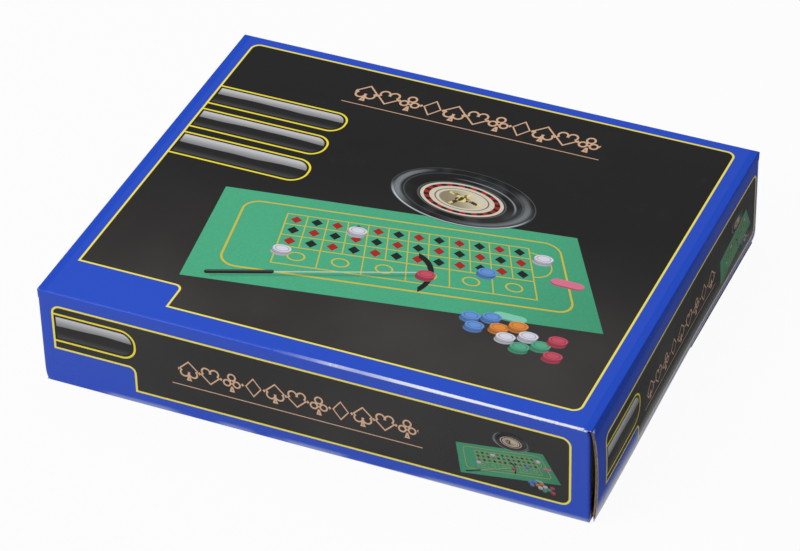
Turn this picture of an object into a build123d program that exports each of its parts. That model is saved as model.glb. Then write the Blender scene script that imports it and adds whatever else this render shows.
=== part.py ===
from build123d import *
import os
from math import copysign, radians, sin, sqrt, tan

os.makedirs("parts", exist_ok=True)

# Frame: origin at the bottom centre of the closed carton, +X along its long front edge,
# -Y towards the front, +Z up. Lengths are millimetres and angles are degrees.

# The case is made round what it holds: its length and depth are worked out from the wheel,
# the chip bay and the clearances between them, and come to 320 by 264.

# ---------------------------------------------------------------- carton, driving sizes
case_height = 63.0
board = 2.8                 # corrugated board, outer liner to inner liner
crease_radius = 1.6         # outer radius of a creased corner
fold_gap = 0.3              # slit left between two panels that fold on each other
end_inset = 0.5             # end panel edge to the outer face of the long walls
flap_clearance = 0.4        # end panel to the dust flaps behind it
tuck_clearance = 0.8        # tuck flap to the floor below it
floor_setback = 1.0         # raw edge of the floor, inside the end panel's face
tuck_length = 17.0
tuck_shoulder = 10.0        # how much narrower the tuck flap is, each side
tuck_taper = 4.0
tuck_corner = 8.0
dust_length = 50.0
dust_drop = 0.8             # top edge of a dust flap to the top panel
dust_lift = 2.2             # lower edge of a dust flap to the tuck flap
dust_upper_taper = 30.0
dust_lower_taper = 8.0
dust_corner = 4.0
notch_width = 52.0          # thumb notch in each end of the floor
notch_depth = 9.0
glue_flap_height = 34.0
glue_flap_end = 14.0        # glue flap end to the end of the carton
glue_flap_taper = 12.0

# ---------------------------------------------------------------- insert, driving sizes
insert_clearance = 0.6      # insert to the long walls
insert_end_clearance = 1.5  # insert to the dust flaps
insert_top = 24.5           # upper face of the platform
insert_over_tuck = 0.8      # end walls to the tuck flap that slides below them
insert_joint = 0.3          # walls to each other at the corners
wheel_to_end = 3.0          # wheel flange to the insert's left end
wheel_to_side = 2.2         # wheel flange to the insert's long sides
bay_gap = 1.2               # wheel flange to the chip bay's divider
bay_window_inset = 3.0
bay_window_end = 8.0
bay_window_corner = 6.0

# ---------------------------------------------------------------- wheel, driving sizes
bowl_radius = 125.0
bowl_wall = 2.4
bowl_seat_gap = 0.3         # flange lip to the insert's deck
deck_overlap = 7.0          # how far the lip reaches over the deck
bowl_rim_lip = 5.0          # depth of the turned-down edge
bowl_flange_width = 25.0    # sloping flange, edge to crest
bowl_flange_rise = 11.0
bowl_wall_setback = 5.0     # foot of the inner wall, inside the crest
bowl_wall_drop = 15.5       # crest to the foot of the inner wall
bowl_apron_width = 25.5
bowl_apron_drop = 8.5
bowl_well_depth = 8.0
bowl_rim_corner = 2.4
bowl_track_corner = 9.6     # the ball's track, between inner wall and apron
bowl_well_corner = 0.5
bowl_foot_offset = 11.5     # foot ring outside the well
bowl_boss_radius = 12.0
bowl_boss_rise = 7.5
deflector_count = 8
deflector_length = 12.0
deflector_width = 4.0
deflector_height = 1.6

rotor_clearance = 1.5       # rotor to the bowl's well
rotor_wall = 2.0
rotor_lift = 1.3            # pockets' underside to the well's floor
rotor_rim_rise = 2.3        # rotor's rim above the well's edge
rotor_rim_depth = 3.8
rotor_rim_land = 1.5
rotor_band_width = 14.0     # number band, with the rim's land
rotor_band_drop = 2.5
pocket_width = 13.0
pocket_draft = 0.5
pocket_count = 37
fret_thickness = 0.8
fret_height = 4.2
pocket_ring_base = 0.8
pocket_ring_clearance = 0.1
cone_foot_rise = 4.9        # pocket floor to the cone's foot
cone_rise = 8.8
cone_curve = -60.0          # radius of the hollow cone, curved inwards
hub_radius = 10.0
hub_shoulder = 4.0
hub_shoulder_rise = 1.5
hub_gap = 0.7               # hub to the bowl's boss
number_ring_inset = 1.5
number_ring_thickness = 0.5

spindle_radius = 3.0
spindle_cover = 2.5         # hub above the spindle's tip
spindle_tip = 0.8
bearing_wall = 3.0
bearing_running_clearance = 0.05
bearing_end_clearance = 0.1

turret_foot_radius = 9.0
turret_foot_height = 2.0
turret_waist_radius = 3.4
turret_ring_radius = 5.2
turret_ring_height = 4.0
turret_neck = 4.5           # foot to ring
turret_waist_drop = 1.5     # waist below the ring
turret_top_neck = 4.0       # ring to finial
finial_radius = 4.6
finial_neck_radius = 2.04   # below the tip
finial_length = 9.0
finial_belly = 3.6          # height of its widest turn
finial_neck = 7.2
arm_count = 4
arm_reach = 25.0            # axis to the centre of the end knob
arm_radius = 1.3
arm_collar_radius = 2.2
arm_knob_radius = 3.2

# ---------------------------------------------------------------- loose contents, driving sizes
chip_radius = 12.0
chip_thickness = 2.6
chips_per_stack = 4
stacks_per_colour = 2
lane_overlap = 4.0          # how far the two rows of stacks reach into each other
stack_gap = 0.6
chip_play = 0.05
plaque_length = 36.0
plaque_width = 20.0
plaques_per_stack = 4
ball_radius = 3.5
ball_count = 2
contents_gap = 0.3
rake_handle_end_gap = 6.0   # rake to the left end of the insert
rake_blade_end_gap = 9.0    # rake to the right end of the insert
rake_inset = 4.4            # rake inside the front of the bowl's crest
rake_handle_length = 72.0
rake_handle_radius = 4.5
rake_handle_round = 2.7
rake_handle_chamfer = 2.25
rake_shaft_radius = 1.6
rake_head_radius = 30.0
rake_head_angle = 130.0     # whole arc of the blade
rake_head_thickness = 2.6
rake_head_height = 11.0
rake_head_gap = 0.1         # shaft's flat end to the curved blade
cloth_length = 150.0
cloth_thickness = 14.0
cloth_corner = 4.0
cloth_side_gap = 0.1        # folded cloth to the sides of the bay
cloth_rake_gap = 7.0        # folded cloth to the rake's blade

# ---------------------------------------------------------------- overall size, worked out
stack_spacing = 2 * chip_radius + stack_gap
lane_spacing = 2 * chip_radius - lane_overlap
stack_pitch = sqrt(stack_spacing ** 2 - lane_spacing ** 2)
bay_width = lane_spacing + 2 * chip_radius + 2 * stack_gap
insert_length = wheel_to_end + 2 * bowl_radius + bay_gap + bay_width + 2 * board
insert_depth = 2 * (bowl_radius + wheel_to_side)
case_length = insert_length + 2 * (insert_end_clearance + flap_clearance + 2 * board)
case_depth = insert_depth + 2 * insert_clearance + 3 * board

# ---------------------------------------------------------------- carton, worked out
end_x = case_length / 2
side_y = case_depth / 2
end_inner_x = end_x - board
wall_end_x = end_inner_x - flap_clearance       # crease of the dust flaps
dust_inner_x = wall_end_x - board
top_inner_z = case_height - board
tuck_low_z = board + tuck_clearance
tuck_high_z = tuck_low_z + board
floor_end_x = end_x - floor_setback
glue_y = side_y - board                         # inner face of the back wall
end_width = case_depth - 2 * end_inset
tuck_width = end_width - 2 * tuck_shoulder
dust_top_z = top_inner_z - dust_drop
dust_low_z = tuck_high_z + dust_lift


def folded_section(points, low, high, left, right):
    """One panel's mitred cross-section, its corners on the folded outline rounded."""
    with BuildSketch() as section:
        with BuildLine():
            Polyline(*points, close=True)
        make_face()
        with Locations(((left + right) / 2, (low + high) / 2)):
            RectangleRounded(right - left, high - low, crease_radius, mode=Mode.INTERSECT)
    return section.sketch


def mitred_strip(half_length, outer, inner):
    """Corner points of a panel folded at both ends, between its outer and inner faces."""
    fold = abs(outer - inner)
    return [(-half_length, outer), (half_length, outer),
            (half_length - fold, inner), (-half_length + fold, inner)]


def mitre(half_length, outer, inner):
    """Outline that cuts a panel's two ends at 45 degrees and runs past both of its faces."""
    run = 2 * (inner - outer)
    wide = half_length + abs(run)
    narrow = half_length - abs(run)
    with BuildSketch() as outline:
        with BuildLine():
            Polyline((-wide, outer - run), (wide, outer - run),
                     (narrow, outer + run), (-narrow, outer + run), close=True)
        make_face()
    return outline.sketch


def corner_waste(half_length, outer, inner):
    """What rounding takes off the outer corners at a panel's two ends."""
    turn = copysign(crease_radius, inner - outer)
    with BuildSketch() as waste:
        with Locations((half_length, outer), (-half_length, outer)):
            Rectangle(2 * crease_radius, 2 * crease_radius)
        with Locations((half_length - crease_radius, outer + turn),
                       (crease_radius - half_length, outer + turn)):
            Circle(crease_radius, mode=Mode.SUBTRACT)
    return waste.sketch


# ---------------------------------------------------------------- carton tube
with BuildPart() as carton_top:
    with BuildSketch(Plane.YZ):
        add(folded_section(mitred_strip(side_y, case_height, top_inner_z),
                           0, case_height, -side_y, side_y))
    extrude(amount=case_length, both=True)
    with BuildSketch(Plane.XZ):
        add(mitre(end_x, case_height, top_inner_z))
    extrude(amount=case_depth, both=True, mode=Mode.INTERSECT)
    with BuildSketch(Plane.XZ):
        add(corner_waste(end_x, case_height, top_inner_z))
    extrude(amount=case_depth, both=True, mode=Mode.SUBTRACT)

with BuildPart() as carton_front:
    with BuildSketch(Plane.YZ):
        add(folded_section([(-side_y, 0), (-side_y, case_height),
                            (-side_y + board, top_inner_z), (-side_y + board, board)],
                           0, case_height, -side_y, side_y))
    extrude(amount=case_length, both=True)
    with BuildSketch(Plane.XY):
        add(mitre(wall_end_x, -side_y, -side_y + board))
    extrude(amount=2 * case_height, both=True, mode=Mode.INTERSECT)
    with BuildSketch(Plane.XY):
        add(corner_waste(wall_end_x, -side_y, -side_y + board))
    extrude(amount=2 * case_height, both=True, mode=Mode.SUBTRACT)

with BuildPart() as carton_back:
    with BuildSketch(Plane.YZ):
        add(folded_section([(side_y, 0), (side_y, case_height),
                            (glue_y, top_inner_z), (glue_y, 0)],
                           -case_height, case_height, -side_y, side_y))
    extrude(amount=case_length, both=True)
    with BuildSketch(Plane.XY):
        add(mitre(wall_end_x, side_y, glue_y))
    extrude(amount=2 * case_height, both=True, mode=Mode.INTERSECT)
    with BuildSketch(Plane.XY):
        add(corner_waste(wall_end_x, side_y, glue_y))
    extrude(amount=2 * case_height, both=True, mode=Mode.SUBTRACT)

with BuildPart() as carton_bottom:
    with BuildSketch(Plane.YZ):
        add(folded_section([(-side_y, 0), (glue_y, 0),
                            (glue_y - board, board), (-side_y + board, board)],
                           0, case_height, -side_y, glue_y))
    extrude(amount=floor_end_x, both=True)
    notch_radius = (notch_width ** 2 / 4 + notch_depth ** 2) / (2 * notch_depth)
    notch_centre = floor_end_x - notch_depth + notch_radius
    with BuildSketch(Plane.XY):
        with Locations((notch_centre, 0), (-notch_centre, 0)):
            Circle(notch_radius)
    extrude(amount=board, mode=Mode.SUBTRACT)

with BuildPart() as carton_glue_flap:
    with BuildSketch(Plane.YZ):
        add(folded_section([(glue_y, 0), (glue_y, glue_flap_height),
                            (glue_y - board, glue_flap_height), (glue_y - board, board)],
                           0, case_height, -side_y, glue_y))
    extrude(amount=end_x - glue_flap_end, both=True)
    with BuildSketch(Plane.XZ):
        with BuildLine():
            glue_foot = end_x - glue_flap_end
            Polyline((-glue_foot, 0), (glue_foot, 0),
                     (glue_foot - glue_flap_taper, glue_flap_height),
                     (-glue_foot + glue_flap_taper, glue_flap_height), close=True)
        make_face()
    extrude(amount=-side_y, mode=Mode.INTERSECT)

# ---------------------------------------------------------------- end closure, right
# The panel's crease lies on the rounded outer corner, so the fold opens on its inner side.
# The tuck flap folds in about the inner corner, inside the panel's rolled lower edge.
with BuildPart() as right_end_panel:
    with BuildSketch(Plane.XZ):
        with BuildLine():
            Line((end_x, case_height - fold_gap), (end_x, tuck_high_z))
            RadiusArc((end_x, tuck_high_z), (end_inner_x, tuck_low_z), board)
            Line((end_inner_x, tuck_low_z), (end_inner_x, top_inner_z - fold_gap))
            Line((end_inner_x, top_inner_z - fold_gap), (end_x, case_height - fold_gap))
        make_face()
        RectangleRounded(case_length, 2 * case_height, crease_radius, mode=Mode.INTERSECT)
    extrude(amount=end_width / 2, both=True)

with BuildPart() as right_tuck_flap:
    with BuildSketch(Plane.XY.offset(tuck_low_z)) as tuck_outline:
        with BuildLine():
            tuck_root = end_inner_x - fold_gap
            tuck_tip = end_x - tuck_length
            Polyline((tuck_root, -tuck_width / 2), (tuck_root, tuck_width / 2),
                     (tuck_tip, tuck_width / 2 - tuck_taper),
                     (tuck_tip, -tuck_width / 2 + tuck_taper), close=True)
        make_face()
        fillet(tuck_outline.vertices().group_by(Axis.X)[0], tuck_corner)
    extrude(amount=board)

with BuildPart() as right_front_dust_flap:
    dust_root = -side_y + fold_gap
    dust_tip = -side_y + dust_length
    with BuildSketch(Plane.XY):
        add(folded_section([(wall_end_x, dust_root), (wall_end_x, dust_tip),
                            (dust_inner_x, dust_tip), (dust_inner_x, dust_root + board)],
                           -side_y, side_y, -wall_end_x, wall_end_x))
    extrude(amount=case_height)
    with BuildSketch(Plane.YZ) as dust_outline:
        with BuildLine():
            Polyline((-side_y, dust_low_z), (-side_y, dust_top_z),
                     (dust_tip, dust_top_z - dust_length * tan(radians(dust_upper_taper))),
                     (dust_tip, dust_low_z + dust_length * tan(radians(dust_lower_taper))),
                     close=True)
        make_face()
        fillet(dust_outline.vertices().group_by(Axis.Y)[-1], dust_corner)
    extrude(amount=case_length, mode=Mode.INTERSECT)

with BuildPart() as right_back_dust_flap:
    mirror(right_front_dust_flap.part, about=Plane.XZ)

# ---------------------------------------------------------------- end closure, left
with BuildPart() as left_end_panel:
    mirror(right_end_panel.part, about=Plane.YZ)

with BuildPart() as left_tuck_flap:
    mirror(right_tuck_flap.part, about=Plane.YZ)

with BuildPart() as left_front_dust_flap:
    mirror(right_front_dust_flap.part, about=Plane.YZ)

with BuildPart() as left_back_dust_flap:
    mirror(right_back_dust_flap.part, about=Plane.YZ)

# ---------------------------------------------------------------- insert
insert_x = insert_length / 2
insert_front_y = -side_y + board + insert_clearance
insert_back_y = insert_front_y + insert_depth
insert_low_z = tuck_high_z + insert_over_tuck
deck_low_z = insert_top - board
wheel_x = -insert_x + wheel_to_end + bowl_radius
wheel_y = (insert_front_y + insert_back_y) / 2
divider_x = wheel_x + bowl_radius + bay_gap
bay_left_x = divider_x + board
bay_right_x = insert_x - board
bay_front_y = insert_front_y + board + insert_joint
bay_back_y = insert_back_y - board - insert_joint
bay_floor_z = insert_low_z + board

with BuildPart() as insert_deck:
    with BuildSketch(Plane.YZ):
        add(folded_section([(insert_front_y, insert_top), (insert_back_y, insert_top),
                            (insert_back_y - board, deck_low_z),
                            (insert_front_y + board, deck_low_z)],
                           0, insert_top, insert_front_y, insert_back_y))
    extrude(amount=insert_x, both=True)
    with BuildSketch(Plane.XZ):
        add(folded_section(mitred_strip(insert_x, insert_top, deck_low_z),
                           0, insert_top, -insert_x, insert_x))
    extrude(amount=side_y, both=True, mode=Mode.INTERSECT)
    with BuildSketch(Plane.XY.offset(deck_low_z)):
        with Locations((wheel_x, wheel_y)):
            Circle(bowl_radius - deck_overlap)
        with Locations(((bay_left_x + bay_right_x) / 2, (bay_front_y + bay_back_y) / 2)):
            RectangleRounded(bay_right_x - bay_left_x - 2 * bay_window_inset,
                             bay_back_y - bay_front_y - 2 * bay_window_end,
                             bay_window_corner)
    extrude(amount=board, mode=Mode.SUBTRACT)

with BuildPart() as insert_front_wall:
    with BuildSketch(Plane.YZ):
        add(folded_section([(insert_front_y, board), (insert_front_y, insert_top),
                            (insert_front_y + board, deck_low_z),
                            (insert_front_y + board, board)],
                           -case_height, insert_top, insert_front_y, insert_back_y))
    extrude(amount=insert_x, both=True)

with BuildPart() as insert_back_wall:
    with BuildSketch(Plane.YZ):
        add(folded_section([(insert_back_y, board), (insert_back_y, insert_top),
                            (insert_back_y - board, deck_low_z),
                            (insert_back_y - board, board)],
                           -case_height, insert_top, insert_front_y, insert_back_y))
    extrude(amount=insert_x, both=True)

with BuildPart() as insert_right_wall:
    with BuildSketch(Plane.XZ.offset(-bay_back_y)):
        add(folded_section([(insert_x, insert_low_z), (insert_x, insert_top),
                            (bay_right_x, deck_low_z), (bay_right_x, insert_low_z)],
                           -case_height, insert_top, -insert_x, insert_x))
    extrude(amount=bay_back_y - bay_front_y)

with BuildPart() as insert_left_wall:
    mirror(insert_right_wall.part, about=Plane.YZ)

with BuildPart() as bay_divider:
    with BuildSketch(Plane.XZ.offset(-bay_back_y)):
        with Locations((divider_x, board)):
            Rectangle(board, deck_low_z - board, align=(Align.MIN, Align.MIN))
    extrude(amount=bay_back_y - bay_front_y)

with BuildPart() as bay_floor:
    with BuildSketch(Plane.XZ.offset(-bay_back_y)):
        with Locations((bay_left_x, insert_low_z)):
            Rectangle(bay_right_x - bay_left_x, board, align=(Align.MIN, Align.MIN))
    extrude(amount=bay_back_y - bay_front_y)

# ---------------------------------------------------------------- wheel
# Heights on the wheel are counted from the carton's floor, radii from the spindle.
wheel_plane = Plane(origin=(wheel_x, wheel_y, board), x_dir=(1, 0, 0), z_dir=(0, -1, 0))
wheel_axis = Axis((wheel_x, wheel_y, board), (0, 0, 1))
crest_radius = bowl_radius - bowl_flange_width
track_radius = crest_radius - bowl_wall_setback
well_radius = track_radius - bowl_apron_width
foot_radius = well_radius + bowl_foot_offset
lip_height = insert_top - board + bowl_seat_gap
rim_height = lip_height + bowl_rim_lip
crest_height = rim_height + bowl_flange_rise
track_height = crest_height - bowl_wall_drop
well_height = track_height - bowl_apron_drop
bowl_floor = well_height - bowl_well_depth
boss_height = bowl_floor + bowl_boss_rise


def apron_height(radius):
    """Height of the bowl's inner cone at a radius."""
    return well_height + bowl_apron_drop / bowl_apron_width * (radius - well_radius)


with BuildPart() as wheel_bowl:
    with BuildSketch(wheel_plane):
        with BuildLine():
            skin = FilletPolyline((bowl_radius, lip_height), (bowl_radius, rim_height),
                                  (crest_radius, crest_height), (track_radius, track_height),
                                  (well_radius, well_height),
                                  (well_radius, bowl_floor), (spindle_radius, bowl_floor),
                                  radius=[bowl_rim_corner, bowl_rim_corner,
                                          bowl_track_corner, bowl_well_corner,
                                          bowl_well_corner])
            offset(skin, amount=bowl_wall, side=Side.LEFT)
        make_face()
        with Locations((spindle_radius, bowl_floor - bowl_wall)):
            Rectangle(bowl_boss_radius - spindle_radius,
                      bowl_boss_rise + bowl_wall, align=(Align.MIN, Align.MIN))
        with BuildLine():
            foot_inner = foot_radius - bowl_wall
            Polyline((foot_inner, 0), (foot_radius, 0),
                     (foot_radius, apron_height(foot_radius) - bowl_wall / 2),
                     (foot_inner, apron_height(foot_inner) - bowl_wall / 2), close=True)
        make_face()
    revolve(axis=wheel_axis)

with BuildPart() as ball_deflectors:
    with BuildSketch(wheel_plane):
        with BuildLine():
            low = well_radius + deflector_length / 2
            high = track_radius - deflector_length / 2
            Polyline((low, apron_height(low)), (high, apron_height(high)),
                     (high, apron_height(high) + deflector_height),
                     (low, apron_height(low) + deflector_height), close=True)
        make_face()
    revolve(axis=wheel_axis)
    with BuildSketch(Plane((wheel_x, wheel_y, board))):
        with PolarLocations((low + high) / 2, deflector_count):
            Polygon((-deflector_width / 2, 0), (0, -deflector_length / 2),
                    (deflector_width / 2, 0), (0, deflector_length / 2))
    extrude(amount=crest_height, mode=Mode.INTERSECT)

rotor_radius = well_radius - rotor_clearance
band_outer_radius = rotor_radius - rotor_rim_land
pocket_outer_radius = rotor_radius - rotor_band_width
pocket_inner_radius = pocket_outer_radius - pocket_width
cone_shoulder_radius = hub_radius + hub_shoulder
rotor_rim_height = well_height + rotor_rim_rise
band_foot_height = rotor_rim_height - rotor_band_drop
band_slope = rotor_band_drop / (band_outer_radius - pocket_outer_radius)
pocket_floor = bowl_floor + rotor_lift + rotor_wall
cone_foot_height = pocket_floor + cone_foot_rise
cone_shoulder_height = cone_foot_height + cone_rise
hub_height = cone_shoulder_height + hub_shoulder_rise
hub_base = boss_height + hub_gap
spindle_height = hub_height - spindle_cover

with BuildPart() as spindle:
    with BuildSketch(Plane((wheel_x, wheel_y, board + bowl_floor - bowl_wall))):
        Circle(spindle_radius)
    extrude(amount=spindle_height - bowl_floor + bowl_wall)
    chamfer(spindle.faces().sort_by(Axis.Z)[-1].edges(), spindle_tip)

with BuildPart() as bearing_cup:
    bearing_bore = spindle_radius + bearing_running_clearance
    bearing_roof = spindle_height + bearing_end_clearance
    with BuildSketch(wheel_plane):
        with BuildLine():
            Polyline((0, bearing_roof), (bearing_bore, bearing_roof), (bearing_bore, hub_base),
                     (bearing_bore + bearing_wall, hub_base),
                     (bearing_bore + bearing_wall, hub_height), (0, hub_height), close=True)
        make_face()
    revolve(axis=wheel_axis)

bearing_seat = bearing_bore + bearing_wall

with BuildPart() as rotor:
    with BuildSketch(wheel_plane):
        with BuildLine():
            Polyline((rotor_radius, rotor_rim_height - rotor_rim_depth),
                     (rotor_radius, rotor_rim_height),
                     (band_outer_radius, rotor_rim_height),
                     (pocket_outer_radius, band_foot_height),
                     (pocket_outer_radius - pocket_draft, pocket_floor),
                     (pocket_inner_radius, pocket_floor),
                     (pocket_inner_radius - pocket_draft, cone_foot_height))
            RadiusArc((pocket_inner_radius - pocket_draft, cone_foot_height),
                      (cone_shoulder_radius, cone_shoulder_height), cone_curve)
            Polyline((cone_shoulder_radius, cone_shoulder_height),
                     (hub_radius, hub_height), (bearing_seat, hub_height))
            offset(amount=rotor_wall, side=Side.LEFT)
        make_face()
        with Locations((bearing_seat, hub_base)):
            Rectangle(hub_radius - bearing_seat, hub_height - hub_base,
                      align=(Align.MIN, Align.MIN))
    revolve(axis=wheel_axis)

with BuildPart() as number_ring:
    with BuildSketch(wheel_plane):
        with BuildLine():
            ring_outer = band_outer_radius - number_ring_inset
            ring_inner = pocket_outer_radius + number_ring_inset
            ring_high = rotor_rim_height - band_slope * number_ring_inset
            ring_low = band_foot_height + band_slope * number_ring_inset
            Polyline((ring_inner, ring_low), (ring_outer, ring_high),
                     (ring_outer, ring_high + number_ring_thickness),
                     (ring_inner, ring_low + number_ring_thickness), close=True)
        make_face()
    revolve(axis=wheel_axis)

with BuildPart() as pocket_ring:
    with BuildSketch(Plane((wheel_x, wheel_y, board + pocket_floor))):
        Circle(pocket_outer_radius - pocket_draft - pocket_ring_clearance)
        Circle(pocket_inner_radius + pocket_ring_clearance, mode=Mode.SUBTRACT)
    extrude(amount=pocket_ring_base)
    with BuildSketch(Plane((wheel_x, wheel_y, board + pocket_floor + pocket_ring_base))):
        with PolarLocations((pocket_outer_radius + pocket_inner_radius) / 2, pocket_count):
            Rectangle(pocket_outer_radius - pocket_inner_radius - 2 * pocket_draft,
                      fret_thickness)
    extrude(amount=fret_height - pocket_ring_base)

ring_base = hub_height + turret_foot_height + turret_neck
ring_top = ring_base + turret_ring_height
neck_top = ring_top + turret_top_neck

with BuildPart() as turret:
    with BuildSketch(wheel_plane):
        with BuildLine():
            Polyline((0, hub_height), (turret_foot_radius, hub_height),
                     (turret_foot_radius, hub_height + turret_foot_height / 2))
            Spline((turret_foot_radius, hub_height + turret_foot_height / 2),
                   (turret_ring_radius, hub_height + turret_foot_height),
                   (turret_waist_radius, ring_base - turret_waist_drop),
                   (turret_ring_radius, ring_base))
            Line((turret_ring_radius, ring_base), (turret_ring_radius, ring_top))
            Spline((turret_ring_radius, ring_top),
                   (turret_waist_radius, ring_top + turret_waist_drop),
                   (turret_waist_radius, neck_top))
            Polyline((turret_waist_radius, neck_top), (0, neck_top), (0, hub_height))
        make_face()
    revolve(axis=wheel_axis)

with BuildPart() as turret_finial:
    with BuildSketch(wheel_plane):
        with BuildLine():
            Polyline((0, neck_top + finial_length), (0, neck_top),
                     (turret_waist_radius, neck_top))
            Spline((turret_waist_radius, neck_top),
                   (finial_radius, neck_top + finial_belly),
                   (finial_neck_radius, neck_top + finial_neck),
                   (0, neck_top + finial_length))
        make_face()
    revolve(axis=wheel_axis)

arm_height = (ring_base + ring_top) / 2
arm_plane = Plane(origin=(0, 0, board + arm_height), x_dir=(1, 0, 0), z_dir=(0, -1, 0))

with BuildPart() as turret_arm:
    with BuildSketch(arm_plane):
        with BuildLine():
            knob_start = arm_reach - sqrt(arm_knob_radius ** 2 - arm_radius ** 2)
            Polyline((arm_reach + arm_knob_radius, 0), (turret_ring_radius, 0),
                     (turret_ring_radius, arm_collar_radius),
                     (turret_ring_radius + arm_collar_radius, arm_collar_radius),
                     (turret_ring_radius + 2 * arm_collar_radius, arm_radius),
                     (knob_start, arm_radius))
            ThreePointArc((knob_start, arm_radius), (arm_reach, arm_knob_radius),
                          (arm_reach + arm_knob_radius, 0))
        make_face()
    revolve(axis=Axis((0, 0, board + arm_height), (1, 0, 0)))

with BuildPart() as turret_arms:
    with Locations((wheel_x, wheel_y)):
        with PolarLocations(0, arm_count):
            add(turret_arm.part)

# ---------------------------------------------------------------- chips and plaques
bay_middle_x = (bay_left_x + bay_right_x) / 2
stack_left_x = bay_left_x + stack_gap + chip_radius
stack_right_x = stack_left_x + lane_spacing
first_stack_y = bay_front_y + stack_gap + chip_radius
chip_colours = ["blue", "orange", "white", "green", "red"]


def chip_stacks(first):
    """Two neighbouring stacks of loose discs in the bay, from a stack number on."""
    with BuildPart() as stacks:
        for number in range(first, first + stacks_per_colour):
            stack_x = stack_left_x if number % 2 == 0 else stack_right_x
            for level in range(chips_per_stack):
                chip_z = bay_floor_z + level * (chip_thickness + chip_play)
                with Locations((stack_x, first_stack_y + number * stack_pitch, chip_z)):
                    Cylinder(chip_radius, chip_thickness,
                             align=(Align.CENTER, Align.CENTER, Align.MIN))
    return stacks.part


def plaque_stack(middle_y):
    """A stack of loose round-ended plaques that lie across the bay."""
    with BuildPart() as stack:
        for level in range(plaques_per_stack):
            plaque_z = bay_floor_z + level * (chip_thickness + chip_play)
            with BuildSketch(Plane((bay_middle_x, middle_y, plaque_z))):
                SlotOverall(plaque_length, plaque_width)
            extrude(amount=chip_thickness)
    return stack.part


chips = {}
for order, colour in enumerate(chip_colours):
    chips[colour] = chip_stacks(order * stacks_per_colour)
    chips[colour].label = "chips_" + colour
    export_step(chips[colour], "parts/chips_" + colour + ".step")

last_stack_y = first_stack_y + (len(chip_colours) * stacks_per_colour - 1) * stack_pitch
plaque_y = last_stack_y + chip_radius + stack_gap + plaque_width / 2
plaques = {}
for order, colour in enumerate(["pink", "mint"]):
    plaques[colour] = plaque_stack(plaque_y + order * (plaque_width + stack_gap))
    plaques[colour].label = "plaques_" + colour
    export_step(plaques[colour], "parts/plaques_" + colour + ".step")

with BuildPart() as roulette_balls:
    ball_y = plaque_y + 1.5 * plaque_width + 2 * stack_gap + ball_radius
    with Locations((bay_middle_x, ball_y, bay_floor_z + ball_radius)):
        with GridLocations(2 * ball_radius + stack_gap, 0, ball_count, 1):
            Sphere(ball_radius)

# ---------------------------------------------------------------- rake
# It lies over the wheel's crest, beside the turret, with its blade above the chip bay.
rake_y = wheel_y - crest_radius + rake_inset
rake_z = wheel_bowl.part.bounding_box().max.Z + contents_gap + rake_shaft_radius
rake_left_x = -insert_x + rake_handle_end_gap
rake_right_x = insert_x - rake_blade_end_gap
shaft_left_x = rake_left_x + rake_handle_length
shaft_right_x = rake_right_x - rake_head_thickness - rake_head_gap
blade_x = rake_right_x - rake_head_radius
rake_start = Plane(origin=(rake_left_x, rake_y, rake_z), x_dir=(0, 1, 0), z_dir=(1, 0, 0))

with BuildPart() as rake_handle:
    with BuildSketch(rake_start):
        Circle(rake_handle_radius)
    extrude(amount=rake_handle_length)
    fillet(rake_handle.faces().sort_by(Axis.X)[0].edges(), rake_handle_round)
    chamfer(rake_handle.faces().sort_by(Axis.X)[-1].edges(), rake_handle_chamfer)

with BuildPart() as rake_shaft:
    with BuildSketch(rake_start.offset(rake_handle_length)):
        Circle(rake_shaft_radius)
    extrude(amount=shaft_right_x - shaft_left_x)

with BuildPart() as rake_head:
    with BuildSketch(Plane.XY.offset(rake_z - rake_head_height / 2)):
        with BuildLine():
            CenterArc((blade_x, rake_y), rake_head_radius - rake_head_thickness / 2,
                      -rake_head_angle / 2, rake_head_angle)
            offset(amount=rake_head_thickness / 2, side=Side.BOTH)
        make_face()
    extrude(amount=rake_head_height)

# ---------------------------------------------------------------- layout cloth, folded
with BuildPart() as layout_cloth:
    blade_back_y = rake_y + rake_head_radius * sin(radians(rake_head_angle / 2))
    cloth_front_y = blade_back_y + cloth_rake_gap
    with BuildSketch(Plane.XY.offset(insert_top + contents_gap)):
        with Locations((bay_middle_x, cloth_front_y)):
            RectangleRounded(bay_width - 2 * cloth_side_gap, cloth_length, cloth_corner,
                             align=(Align.CENTER, Align.MIN))
    extrude(amount=cloth_thickness)
    fillet(layout_cloth.edges().group_by(Axis.Z)[-1], cloth_corner)

# ---------------------------------------------------------------- files
named_parts = {
    "carton_top": carton_top,
    "carton_front": carton_front,
    "carton_bottom": carton_bottom,
    "carton_back": carton_back,
    "carton_glue_flap": carton_glue_flap,
    "right_end_panel": right_end_panel,
    "right_tuck_flap": right_tuck_flap,
    "right_front_dust_flap": right_front_dust_flap,
    "right_back_dust_flap": right_back_dust_flap,
    "left_end_panel": left_end_panel,
    "left_tuck_flap": left_tuck_flap,
    "left_front_dust_flap": left_front_dust_flap,
    "left_back_dust_flap": left_back_dust_flap,
    "insert_deck": insert_deck,
    "insert_front_wall": insert_front_wall,
    "insert_back_wall": insert_back_wall,
    "insert_right_wall": insert_right_wall,
    "insert_left_wall": insert_left_wall,
    "bay_divider": bay_divider,
    "bay_floor": bay_floor,
    "wheel_bowl": wheel_bowl,
    "ball_deflectors": ball_deflectors,
    "spindle": spindle,
    "bearing_cup": bearing_cup,
    "rotor": rotor,
    "number_ring": number_ring,
    "pocket_ring": pocket_ring,
    "turret": turret,
    "turret_arms": turret_arms,
    "turret_finial": turret_finial,
    "roulette_balls": roulette_balls,
    "layout_cloth": layout_cloth,
    "rake_handle": rake_handle,
    "rake_shaft": rake_shaft,
    "rake_head": rake_head,
}
for part_name, builder in named_parts.items():
    builder.part.label = part_name
    export_step(builder.part, "parts/" + part_name + ".step")
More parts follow.
